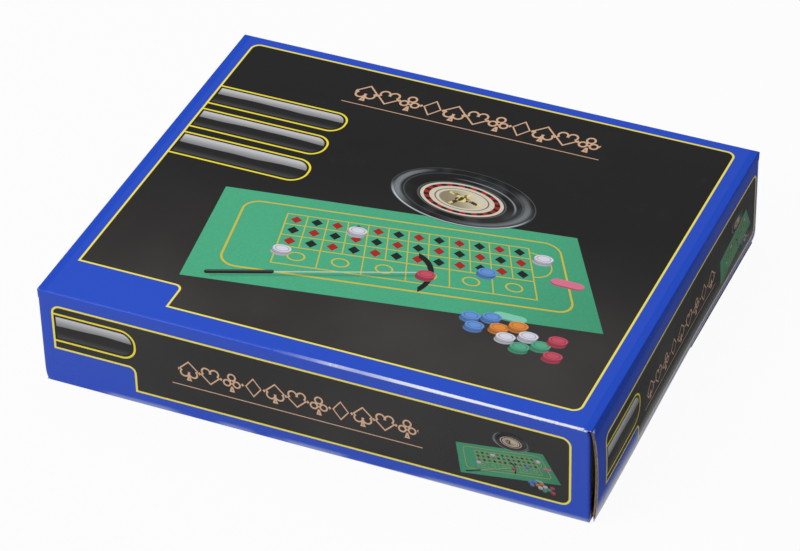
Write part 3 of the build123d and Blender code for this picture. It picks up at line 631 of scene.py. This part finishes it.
BOARDS = {
    "carton_top": (sleeve_depth, 0, lid_print, 0.1),
    "carton_front": (sleeve_depth, 0, long_side_print, 0.3),
    "carton_back": (sleeve_depth, 0, long_side_print, 0.3),
    "carton_bottom": (sleeve_depth, 0, bare_liner, 0.1),
    "carton_glue_flap": (glue_depth, 0, bare_liner, 0.1),
}
for side in ("right", "left"):
    BOARDS[f"{side}_tuck_flap"] = (end_depth, 0, plain_blue, 0.2)
    for end in ("front", "back"):
        BOARDS[f"{side}_{end}_dust_flap"] = (dust_depth, 1, bare_liner, 0.1)

board_finishes = {}
for node, key in BOARDS.items():
    if key not in board_finishes:
        board_finishes[key] = corrugated("board_" + node, *key)
    NODES[node].material_slots[0].material = board_finishes[key]
END_BOARD = corrugated("board_end_panel", end_depth, 0, end_print, 0.03, bent=True, foot=True)
SIDE_BOARD = corrugated("board_corner_fold", sleeve_depth, 0, long_side_print, 0.3, bent=True)


def crease_film():
    """The printed film where it turns over a crease: blue, with fine cracks across the fold."""
    f = Finish("crease_film", bent=True)
    crack = f.smooth(f.noise(700.0, 4.0, 0.75), 0.7, 0.76)
    crack = crack * f.smooth(f.noise(30.0, 2.0), 0.54, 0.66)
    colour = f.mix(crack * 0.7, plain_blue(f), (0.6, 0.64, 0.74))
    return f.surface(Base_Color=colour, Roughness=crack * 0.2 + f.noise(40.0, 3.0) * 0.12 + 0.42,
                     Normal=f.bump(f.noise(160.0, 3.0) + f.noise(30.0, 2.0), 0.25, 0.0005),
                     Specular_IOR_Level=0.02)


CREASE_FILM = crease_film()


# ---- finishes of the contents
def kraft():
    """Grey-brown board of the insert, with fibres, specks and a faint washboard."""
    f = Finish("insert_kraft")
    y = f.axes()[1]
    fibre = f.noise(210.0, 6.0, 0.72)
    speck = f.smooth(f.noise(1400.0, 1.0), 0.7, 0.76)
    shade = fibre * 0.7 + f.noise(14.0, 3.0) * 0.3
    colour = f.mix(shade, (0.46, 0.315, 0.19), (0.33, 0.217, 0.127))
    colour = f.mix(speck * 0.6, colour, (0.14, 0.085, 0.045))
    board = f.math("SINE", y * (math.tau / FLUTE_PITCH)) * 0.5 + 0.5
    return f.surface(Base_Color=colour, Roughness=fibre * 0.2 + 0.74,
                     Normal=f.bump(board * 0.5 + fibre * 0.6, 0.18, 0.0004))


def moulded(name, low, high, roughness):
    """Moulded plastic: a close colour range, soft flow marks and a fine skin."""
    f = Finish(name)
    flow = f.noise(26.0, 4.0, 0.6)
    skin = f.noise(1700.0, 3.0, 0.6)
    scuff = f.smooth(f.noise(300.0, 3.0, 0.75), 0.62, 0.78)
    return f.surface(Base_Color=f.mix(flow, low, high),
                     Roughness=flow * 0.08 + scuff * 0.1 + roughness,
                     Normal=f.bump(skin * 0.6 + flow * 0.4, 0.12, 0.0004))


def number_print():
    """The number ring: boxes round the wheel's axis, red and black by turns and one green, each
    with a lozenge in outline."""
    f = Finish("number_print")
    x, y, _ = f.axes()
    turn = f.math("ARCTAN2", y - WHEEL_Y, x - WHEEL_X) / math.tau + 1.0
    number = f.math("FLOOR", f.math("FRACT", turn) * POCKETS)
    within = abs(f.math("FRACT", turn * POCKETS) - 0.5)
    off_ring = abs(f.length(x - WHEEL_X, y - WHEEL_Y) - RING_RADIUS)
    odd = f.inside(f.math("MODULO", number, 2.0) - 0.5, 0.01)
    box = f.mix(odd, (0.36, 0.016, 0.014), (0.01, 0.01, 0.011))
    box = f.mix(f.inside(number - 0.5, 0.01), box, (0.012, 0.2, 0.06))
    lozenge = within * 1.6 + off_ring * 0.16 - 0.34
    box = f.mix(f.line(lozenge, 0.05, 0.03), box, (0.8, 0.76, 0.62))
    edge = f.smooth(within, 0.455, 0.475).most(f.smooth(off_ring, 4.9, 5.2))
    return f.surface(Base_Color=f.mix(edge, box, (0.74, 0.7, 0.6)),
                     Roughness=f.noise(90.0, 3.0) * 0.1 + 0.3,
                     Normal=f.bump(f.noise(900.0, 2.0), 0.08, 0.0003))


def plated(name, low, high, roughness, brushing=(1.0, 1.0, 1.0)):
    """Plated metal with fine polishing marks and a little tarnish."""
    f = Finish(name)
    stretched = f.add("Mapping", {}, {"Vector": f.place, "Scale": brushing})
    marks = f.noise(900.0, 3.0, 0.6, where=stretched)
    tarnish = f.smooth(f.noise(120.0, 4.0, 0.7), 0.45, 0.8)
    return f.surface(Base_Color=f.mix(tarnish * 0.6 + marks * 0.15, high, low), Metallic=1.0,
                     Roughness=marks * 0.1 + tarnish * 0.15 + roughness,
                     Normal=f.bump(marks, 0.1, 0.0003))


def chip_plastic(name, tint):
    """Pressed plastic of chips and plaques: flow marks towards a paler tint, and a fine skin."""
    f = Finish(name)
    flow = f.noise(190.0, 4.0, 0.6)
    pale = tuple(min(1.0, part * 1.25 + 0.02) for part in tint)
    skin = f.noise(2200.0, 2.0)
    return f.surface(Base_Color=f.mix(flow, tint, pale), Roughness=flow * 0.12 + 0.34,
                     Normal=f.bump(skin * 0.5 + flow * 0.5, 0.1, 0.0003))


FINISHES = {
    "kraft_board": kraft(),
    "black_plastic": moulded("bowl_black", (0.0065, 0.0065, 0.007), (0.011, 0.011, 0.012), 0.2),
    "cream_plastic": moulded("rotor_cream", (0.66, 0.6, 0.47), (0.73, 0.68, 0.56), 0.3),
    "ring_print": number_print(),
    "gold_plating": plated("turret_gold", (0.4, 0.24, 0.055), (0.86, 0.62, 0.24), 0.14),
    "steel": plated("shaft_steel", (0.42, 0.42, 0.43), (0.68, 0.68, 0.7), 0.18, (0.05, 1.0, 1.0)),
    "brass": plated("bearing_brass", (0.44, 0.28, 0.09), (0.74, 0.54, 0.22), 0.26),
    "white_plastic": moulded("ball_white", (0.78, 0.77, 0.73), (0.84, 0.83, 0.8), 0.12),
}
CHIP_COLOURS = {"blue": (0.045, 0.13, 0.42), "orange": (0.66, 0.19, 0.035),
                "white": (0.68, 0.67, 0.7), "green": (0.035, 0.27, 0.11),
                "red": (0.52, 0.035, 0.045), "pink": (0.68, 0.22, 0.26), "mint": (0.28, 0.62, 0.4)}
for word, tint in CHIP_COLOURS.items():
    FINISHES["chip_" + word] = chip_plastic(f"chip_{word}_plastic", tint)
for node in NODES.values():
    for slot in node.material_slots:
        if slot.material and slot.material.name in FINISHES:
            slot.material = FINISHES[slot.material.name]


# ---- meshes from grids of points
def grid_faces(rows, columns):
    """Quads of a grid of points, as index rows."""
    i, j = np.meshgrid(np.arange(rows - 1), np.arange(columns - 1), indexing="ij")
    here = i * columns + j
    return np.stack([here, here + 1, here + columns + 1, here + columns], -1).reshape(-1, 4)


def new_piece(name, points, faces, finish, uv=None, smooth=True):
    """A mesh object at the origin from points in mm and faces as index rows."""
    mesh = bpy.data.meshes.new(name)
    mesh.from_pydata((np.asarray(points, float) * MM).tolist(), [], np.asarray(faces).tolist())
    if uv is not None:
        layer = mesh.uv_layers.new(name="flat")
        loops = np.zeros(len(mesh.loops), np.int32)
        mesh.loops.foreach_get("vertex_index", loops)
        layer.data.foreach_set("uv", np.asarray(uv, np.float32)[loops].ravel())
    mesh.polygons.foreach_set("use_smooth", np.full(len(mesh.polygons), smooth))
    mesh.update()
    piece = bpy.data.objects.new(name, mesh)
    bpy.context.scene.collection.objects.link(piece)
    mesh.materials.append(finish)
    return piece


def slab_faces(rows, columns):
    """Faces of a closed slab: an outer grid, an inner grid of as many points, and their rim."""
    count = rows * columns
    outer = grid_faces(rows, columns)
    index = np.arange(count).reshape(rows, columns)
    loop = np.concatenate([index[0, :-1], index[:-1, -1], index[-1, :0:-1], index[:0:-1, 0]])
    after = np.roll(loop, -1)
    rim = np.stack([loop, loop + count, after + count, after], 1)
    return np.concatenate([outer, outer[:, ::-1] + count, rim])


def slab_piece(name, outer, inner, finish, unbent):
    """A closed board between two grids of points, sharp at its edges. `unbent` are the two grids
    before the board was bent."""
    rows, columns = outer.shape[:2]
    points = np.concatenate([outer.reshape(-1, 3), inner.reshape(-1, 3)])
    piece = new_piece(name, points, slab_faces(rows, columns), finish)
    flat = np.concatenate([part.reshape(-1, 3) for part in unbent]) * MM
    store = piece.data.attributes.new("unbent", "FLOAT_VECTOR", "POINT")
    store.data.foreach_set("vector", flat.astype(np.float32).ravel())
    work = bmesh.new()
    work.from_mesh(piece.data)
    bmesh.ops.recalc_face_normals(work, faces=work.faces)
    work.to_mesh(piece.data)
    work.free()
    piece.data.set_sharp_from_angle(angle=math.radians(40.0))
    return piece


# ---- end panels and live creases
def column(*parts):
    """The parts end to end, as one column."""
    return np.concatenate(parts)[:, None]


def step(value, low, high):
    """A smooth step of whole arrays, 0 at low and 1 at high."""
    t = np.clip((value - low) / (high - low), 0.0, 1.0)
    return t * t * (3.0 - 2.0 * t)


def end_bow(side, y, z):
    """How far an end panel stands out of its plane, mm: a faint wave of the sine of y. The right
    one has sprung open at the front: an exponential rise from its crease and part of a sine below
    it, fading by a smooth step along the depth."""
    down = np.clip((62.6 - z) / 59.0, 0.0, 1.0)
    wave = 0.22 * np.sin(y / 37.0 + 0.6) * np.sin(down * np.pi)
    if side < 0:
        return wave
    sprung = 1.0 - np.exp(-down / 0.03) + 2.8 * np.sin(np.pi * down ** 0.8 * 0.8)
    reach = 1.0 - step(y, -131.5, 60.0)
    return wave + sprung * reach


ROLL_TOP, ROLL_FOOT, ROLL_DEPTH = 10.4, 1.4, 1.4  # heights and depth of the panel's lower corner
PANEL_EDGE = 128.9  # an end panel's edges, short of the corner folds
PANEL_SPRUNG = 131.4  # its front edge where it covers the front's fold


def roll_inset(z):
    """How far the lower corner has turned in at height z: a quarter of an ellipse."""
    fall = np.clip((ROLL_TOP - z) / (ROLL_TOP - ROLL_FOOT), 0.0, 1.0)
    return ROLL_DEPTH * (1.0 - np.sqrt(np.maximum(1.0 - fall ** 2, 0.0)))


def end_panel(side, word):
    """One end panel: a sheet bowed by end_bow, as thick as the board, its lower corner rounded by
    roll_inset. The right one's front edge has sprung out over the fold and is crushed thin."""
    front = PANEL_SPRUNG if side > 0 else PANEL_EDGE
    y = np.linspace(-front, PANEL_EDGE, 97)[None, :]
    z = column(np.linspace(62.3, 60.8, 6), np.linspace(60.0, ROLL_TOP + 1.2, 30),
               ROLL_TOP - (ROLL_TOP - ROLL_FOOT) * np.sin(np.linspace(0.0, 1.45, 12)))
    inset = roll_inset(z)
    bow = end_bow(side, y, z)
    y, z, inset = np.broadcast_arrays(y, z, inset)
    outer = np.stack([side * (CASE_X + bow - inset), y, z], -1)
    crushed = 0.0
    if side > 0:
        crushed = (1.25 + 0.45 * step(-z, -35.0, -5.0)) * step(-y, front - 3.5, front)
    inner_x = CASE_X - BOARD + crushed + bow - inset * 0.3
    inner = np.stack([side * inner_x, y, np.maximum(z, 6.2)], -1)
    flat_outer = np.stack([side * CASE_X + 0 * y, y, z], -1)
    flat_inner = np.stack([side * (CASE_X - BOARD) + 0 * y, y, np.maximum(z, 6.5)], -1)
    piece = slab_piece(f"{word}_end_board", outer, inner, END_BOARD, (flat_outer, flat_inner))
    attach(piece, f"{word}_end_panel")
    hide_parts(f"{word}_end_panel")


def crease_strip(name, side, place, bow, normal, lift, thick, finish, flat):
    """A strip of printed liner over a crease. Its outer face lies `lift` off the board along the
    normal (x, z), its inner face `thick` below that; `flat` is its unbent x and z."""
    x, y, z, bow, nx, nz, lift = np.broadcast_arrays(*place, bow, *normal, lift)
    shells = [np.stack([side * (x + bow + nx * reach), y, z + nz * reach], -1)
              for reach in (lift, lift - thick)]
    unbent = np.stack(np.broadcast_arrays(side * flat[0], y, flat[1]), -1)
    piece = slab_piece(name, *shells, finish, (unbent, unbent))
    return piece


def lid_crease(side, word):
    """The printed liner that turns from the top panel on to the end panel: a flat strip, a quarter
    ring and a strip that follows the bow. Its rims sink into the board, and its ends fall with the
    rounded long edges."""
    ring = 0.6
    t = np.linspace(0.0, np.pi / 2, 11)
    x = column([153.0, 154.0, 155.5, 157.0, 158.5], CASE_X - ring + ring * np.sin(t),
               np.full(5, CASE_X))
    z = column(np.full(5, CASE_Z), CASE_Z - ring + ring * np.cos(t), [61.6, 60.4, 59.0, 57.5, 56.5])
    nx = column(np.zeros(5), np.sin(t), np.ones(5))
    nz = column(np.ones(5), np.cos(t), np.zeros(5))
    lift = column([-0.3, -0.02, 0.005, 0.025], np.full(13, 0.04), [0.025, 0.005, -0.02, -0.3])
    y = 131.45 * np.sin(np.linspace(-np.pi / 2, np.pi / 2, 97))[None, :]
    bow = end_bow(side, y, z) * np.clip((CASE_Z - z) / EDGE_RADIUS, 0.0, 1.0)
    over = np.maximum(abs(y) - (CASE_Y - EDGE_RADIUS), 0.0)
    z = z - nz * (EDGE_RADIUS - np.sqrt(EDGE_RADIUS ** 2 - over ** 2))
    piece = crease_strip(f"{word}_lid_crease", side, (x, y, z), bow, (nx, nz), lift, 0.25,
                         CREASE_FILM, (x, z))
    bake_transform(piece)


def tuck_crease(side, word):
    """The liner that turns from the end panel under it on to the tuck flap, a quarter ring. On the
    flap it is plain blue."""
    t = np.linspace(0.0, np.pi / 2, 15)
    x = column(np.full(4, CASE_X), CASE_X - ROLL_DEPTH * (1.0 - np.cos(t)),
               np.linspace(157.4, 152.0, 4))
    z = column(ROLL_TOP + np.array([5.0, 4.0, 2.5, 0.5]),
               ROLL_TOP - (ROLL_TOP - ROLL_FOOT) * np.sin(t), [1.7, 2.5, 3.3, 3.6])
    nx = column(np.ones(4), np.cos(t), np.zeros(4))
    nz = -column(np.zeros(4), np.sin(t), np.ones(4))
    lift = column([-0.3, -0.02, 0.015, 0.04], np.full(15, 0.06), np.zeros(4))
    y = np.linspace(-120.5, 120.5, 81)[None, :]
    bow = end_bow(side, y, z) * np.clip((x - 152.0) / 6.0, 0.0, 1.0)
    piece = crease_strip(f"{word}_tuck_crease", side, (x, y, z), bow, (nx, nz), lift, 0.35,
                         END_BOARD, (CASE_X, np.where(x > 158.5, z, 0.5)))
    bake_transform(piece)


def corner_fold(side, end, word):
    """The fat fold between a long side and its dust flap: a rounded lip that carries the print to
    the carton's corner, then dips behind the end panel. It follows the panel's lower corner, or the
    sprung panel at the right front."""
    z = column([0.7], np.linspace(1.2, 61.4, 36), [61.8, 62.2, 62.5])
    if side > 0 and end < 0:
        edge = end_bow(1, np.full_like(z, -131.0), z)
        reach = np.minimum(157.0 + edge, 158.9 + 0.5 * (1.0 - z / CASE_Z))
    else:
        reach = 159.85 - roll_inset(z)
    taper = np.clip((z + 0.2) / 1.2, 0, 1) * np.clip((63.5 - z) / 1.2, 0, 1)
    high = np.clip(np.maximum(z - 61.4, 1.6 - z), 0.0, EDGE_RADIUS)
    round_off = EDGE_RADIUS - np.sqrt(EDGE_RADIUS ** 2 - high ** 2)
    reach = DUST_X + (reach - DUST_X) * (0.35 + 0.65 * taper)
    # from 154 mm along the side, round the lip's quarter ring from t = 0.3 to 0.85, then inwards
    t = np.linspace(0.0, 1.0, 15)[None, :]
    a = np.clip((t - 0.3) / 0.55, 0.0, 1.0) * np.pi / 2
    radius = np.minimum(1.3, (reach - DUST_X) * 0.7 + 0.2)
    straight = 154.0 + (reach - radius - 154.0) * (t / 0.3)
    x = np.where(t < 0.3, straight, reach - radius + radius * np.sin(a))
    y = np.where(t < 0.3, CASE_Y, CASE_Y - radius + radius * np.cos(a))
    dip = np.clip((t - 0.85) / 0.15, 0.0, 1.0) * (CASE_Y - radius - 129.3)
    y = y - dip - round_off
    z = np.broadcast_to(z, x.shape)
    outer = np.stack([side * x, end * (y + 0.04), z], -1)
    inner_y = end * np.minimum(y - 0.3, 130.4)
    inner = np.stack([side * np.minimum(x - 0.3, 156.2), inner_y, z], -1)
    flat = np.stack([side * np.minimum(x, 158.0), end * (CASE_Y + 0 * y), z], -1)
    piece = slab_piece(f"{word}_corner_fold", outer, inner, SIDE_BOARD, (flat, flat))
    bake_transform(piece)


for side, word in ((1, "right"), (-1, "left")):
    end_panel(side, word)
    lid_crease(side, word)
    tuck_crease(side, word)
    for end, edge in ((-1, "front"), (1, "back")):
        corner_fold(side, end, f"{word}_{edge}")


# ---- the playing cloth, folded
CLOTH_LAYERS, CLOTH_THICK = 13, 0.42


def layered_line(width, height, layers, seed):
    """The mid-line of a cloth laid to and fro: straight runs joined by half rings of half the
    layers' pitch, each run ending a little short by its own amount. Gives x and height, and the
    distance along the cloth."""
    rng = np.random.default_rng(seed)
    pitch = height / layers
    radius = pitch / 2
    shortfall = rng.uniform(0.0, 1.6, layers + 1)
    t = np.linspace(0.0, 1.0, 11)
    turn = np.linspace(-np.pi / 2, np.pi / 2, 7)[1:-1]
    line = []
    for layer in range(layers):
        sign = 1 if layer % 2 == 0 else -1
        start = -sign * (width / 2 - radius - shortfall[layer])
        stop = sign * (width / 2 - radius - shortfall[layer + 1])
        rise = radius + layer * pitch + 0.1 * np.sin(t * 7.0 + layer * 2.3) * np.sin(t * np.pi)
        line.append(np.stack([start + (stop - start) * t, rise], 1))
        if layer < layers - 1:
            line.append(np.stack([stop + sign * radius * np.cos(turn),
                                  (layer + 1) * pitch + radius * np.sin(turn)], 1))
    line = np.concatenate(line)
    steps = np.linalg.norm(np.diff(line, axis=0), axis=1)
    return line, np.concatenate([[0.0], np.cumsum(steps)])


def felt():
    """Green felt with fibres, a gold border and a grid of lozenges in the flat cloth's mm."""
    f = Finish("felt_layout")
    p, q, _ = f.axes(f.uv)
    pile = f.noise(2600.0, 3.0, 0.75)
    tuft = f.noise(420.0, 4.0, 0.7)
    green = f.mix(tuft * 0.6 + pile * 0.4, (0.01, 0.115, 0.055), (0.03, 0.235, 0.12))
    colour, lines, grid = lozenge_grid(
        f, p, q, (110.0, 510.0, 130.0, 250.0), 0.5, (1.2, 1.0, 0.34),
        ((0.012, 0.014, 0.013), (0.36, 0.018, 0.016)), (0.9, 0.3), green)
    border = f.box_distance(p, q, 25.0, 575.0, 25.0, 275.0, 20.0)
    gold = f.line(border, 0.9, 0.3).most(f.inside(grid - 0.5) * lines)
    colour = f.mix(gold * (pile * 0.5 + 0.6), colour, (0.52, 0.4, 0.08))
    return f.surface(Base_Color=colour, Roughness=tuft * 0.1 + 0.85,
                     Normal=f.bump(pile * 0.6 + tuft * 0.6, 0.5, 0.0005), Sheen_Weight=0.25,
                     Sheen_Roughness=0.5)


def folded_cloth():
    """The doubled cloth: the folded mid-line pushed out to both sides by half a ply's pitch and
    carried along y, with a half ring that joins the two plies at the back end."""
    low, high = [np.array(c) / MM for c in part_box("layout_cloth")]
    width, length, height = high - low
    line, along = layered_line(width - 1.6, height - 0.5, CLOTH_LAYERS, 7)
    tangent = np.gradient(line, axis=0)
    tangent /= np.linalg.norm(tangent, axis=1)[:, None]
    normal = np.stack([-tangent[:, 1], tangent[:, 0]], 1)
    ply = (height - 0.5) / CLOTH_LAYERS / 4
    run = length - 1.2 - ply
    steps = np.linspace(0.0, run, 34)
    ring = np.linspace(0.0, np.pi, 7)[1:-1]
    reach = np.concatenate([steps, run + ply * np.sin(ring), steps[::-1]])
    straight = np.full(len(steps), ply)
    offset = np.concatenate([straight, ply * np.cos(ring), -straight])
    flat_q = np.concatenate([steps, run + ply * ring, run * 2 + ply * np.pi - steps[::-1]])
    drift = 0.55 * np.sin(reach / run * 5.0 + 0.7) + 0.25 * np.sin(reach / run * 13.0)
    middle = (low[0] + high[0]) / 2
    x = middle + line[:, None, 0] + normal[:, None, 0] * offset[None] + drift[None] * 0.8
    z = low[2] + 0.25 + line[:, None, 1] + normal[:, None, 1] * offset[None]
    y = np.broadcast_to(low[1] + 0.6 + reach[None], x.shape)
    points = np.stack([x, y, z], -1).reshape(-1, 3)
    flat = np.stack(np.broadcast_arrays(along[:, None], flat_q[None]), -1).reshape(-1, 2) * MM
    faces = grid_faces(len(line), len(reach))
    piece = new_piece("folded_cloth", points, faces, felt(), flat)
    shell = piece.modifiers.new("felt_thickness", "SOLIDIFY")
    shell.thickness = CLOTH_THICK * MM
    shell.offset = 0.0
    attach(piece, "carton")
    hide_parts("layout_cloth")


folded_cloth()


# ---- floor, light and camera
def plain_floor():
    """A pale table, almost white to the eye and still holding the carton's soft shadow."""
    f = Finish("pale_table")
    tone = f.mix(f.noise(3.0, 2.0) * 0.15, (0.62, 0.62, 0.62), (0.58, 0.58, 0.585))
    seen = (f.ray("Camera").most(f.ray("Transmission")) * 0.95).most(f.ray("Glossy") * 0.55)
    table = f.principled(Base_Color=tone, Roughness=0.6)
    f.show(f.add("MixShader", {}, {0: seen, 1: table, 2: f.add("Emission", {}, {})}))
    half = 6.0 / MM
    points = [[-half, -half, 0.0], [half, -half, 0.0], [half, half, 0.0], [-half, half, 0.0]]
    floor = new_piece("pale_table", points, [[0, 1, 2, 3]], f.material, smooth=False)


def studio_light(name, place, aim, size, power):
    """A soft square lamp that faces `aim`."""
    data = bpy.data.lights.new(name, "AREA")
    data.shape = "SQUARE"
    data.size = size
    data.energy = power
    lamp = bpy.data.objects.new(name, data)
    lamp.matrix_world = Matrix.Translation(place) @ (
        Vector(aim) - Vector(place)).to_track_quat("-Z", "Y").to_matrix().to_4x4()
    bpy.context.scene.collection.objects.link(lamp)


def soft_world():
    """Even light from all round, and a white surround for the eye and for reflections."""
    f = Finish("soft_room", store=bpy.data.worlds)
    seen = f.ray("Camera").most(f.ray("Transmission")).most(f.ray("Glossy"))
    level = f.add("MapRange", {}, {"Value": seen, "To Min": 0.25, "To Max": 1.0})
    light = f.add("Background", {}, {"Strength": level})
    bpy.context.scene.world = f.show(light, "OutputWorld")


def aimed_camera():
    """A long lens above and to the right of the carton's front edge, rolled by 1.47 degrees."""
    forward = Vector((-0.3245, 0.7214, -0.6118)).normalized()
    level = forward.cross(Vector((0, 0, 1))).normalized()
    upright = level.cross(forward)
    roll = math.radians(-1.47)
    right = level * math.cos(roll) + upright * math.sin(roll)
    up = upright * math.cos(roll) - level * math.sin(roll)
    data = bpy.data.cameras.new("studio_camera")
    data.sensor_fit = "HORIZONTAL"
    data.sensor_width = 36.0
    data.lens = 165.8
    data.clip_start = 0.05
    camera = bpy.data.objects.new("studio_camera", data)
    turn = Matrix((right, up, -forward)).transposed().to_4x4()
    camera.matrix_world = Matrix.Translation((0.6624, -1.4826, 1.2792)) @ turn
    bpy.context.scene.collection.objects.link(camera)
    bpy.context.scene.camera = camera


bpy.context.scene.view_settings.view_transform = "Standard"
plain_floor()
soft_world()
studio_light("key_left_front", (-1.1, -1.5, 2.0), (0, 0, 0.03), 1.6, 46.0)
studio_light("fill_above", (-0.4, 0.7, 2.6), (0, 0, 0.03), 2.0, 18.0)
aimed_camera()
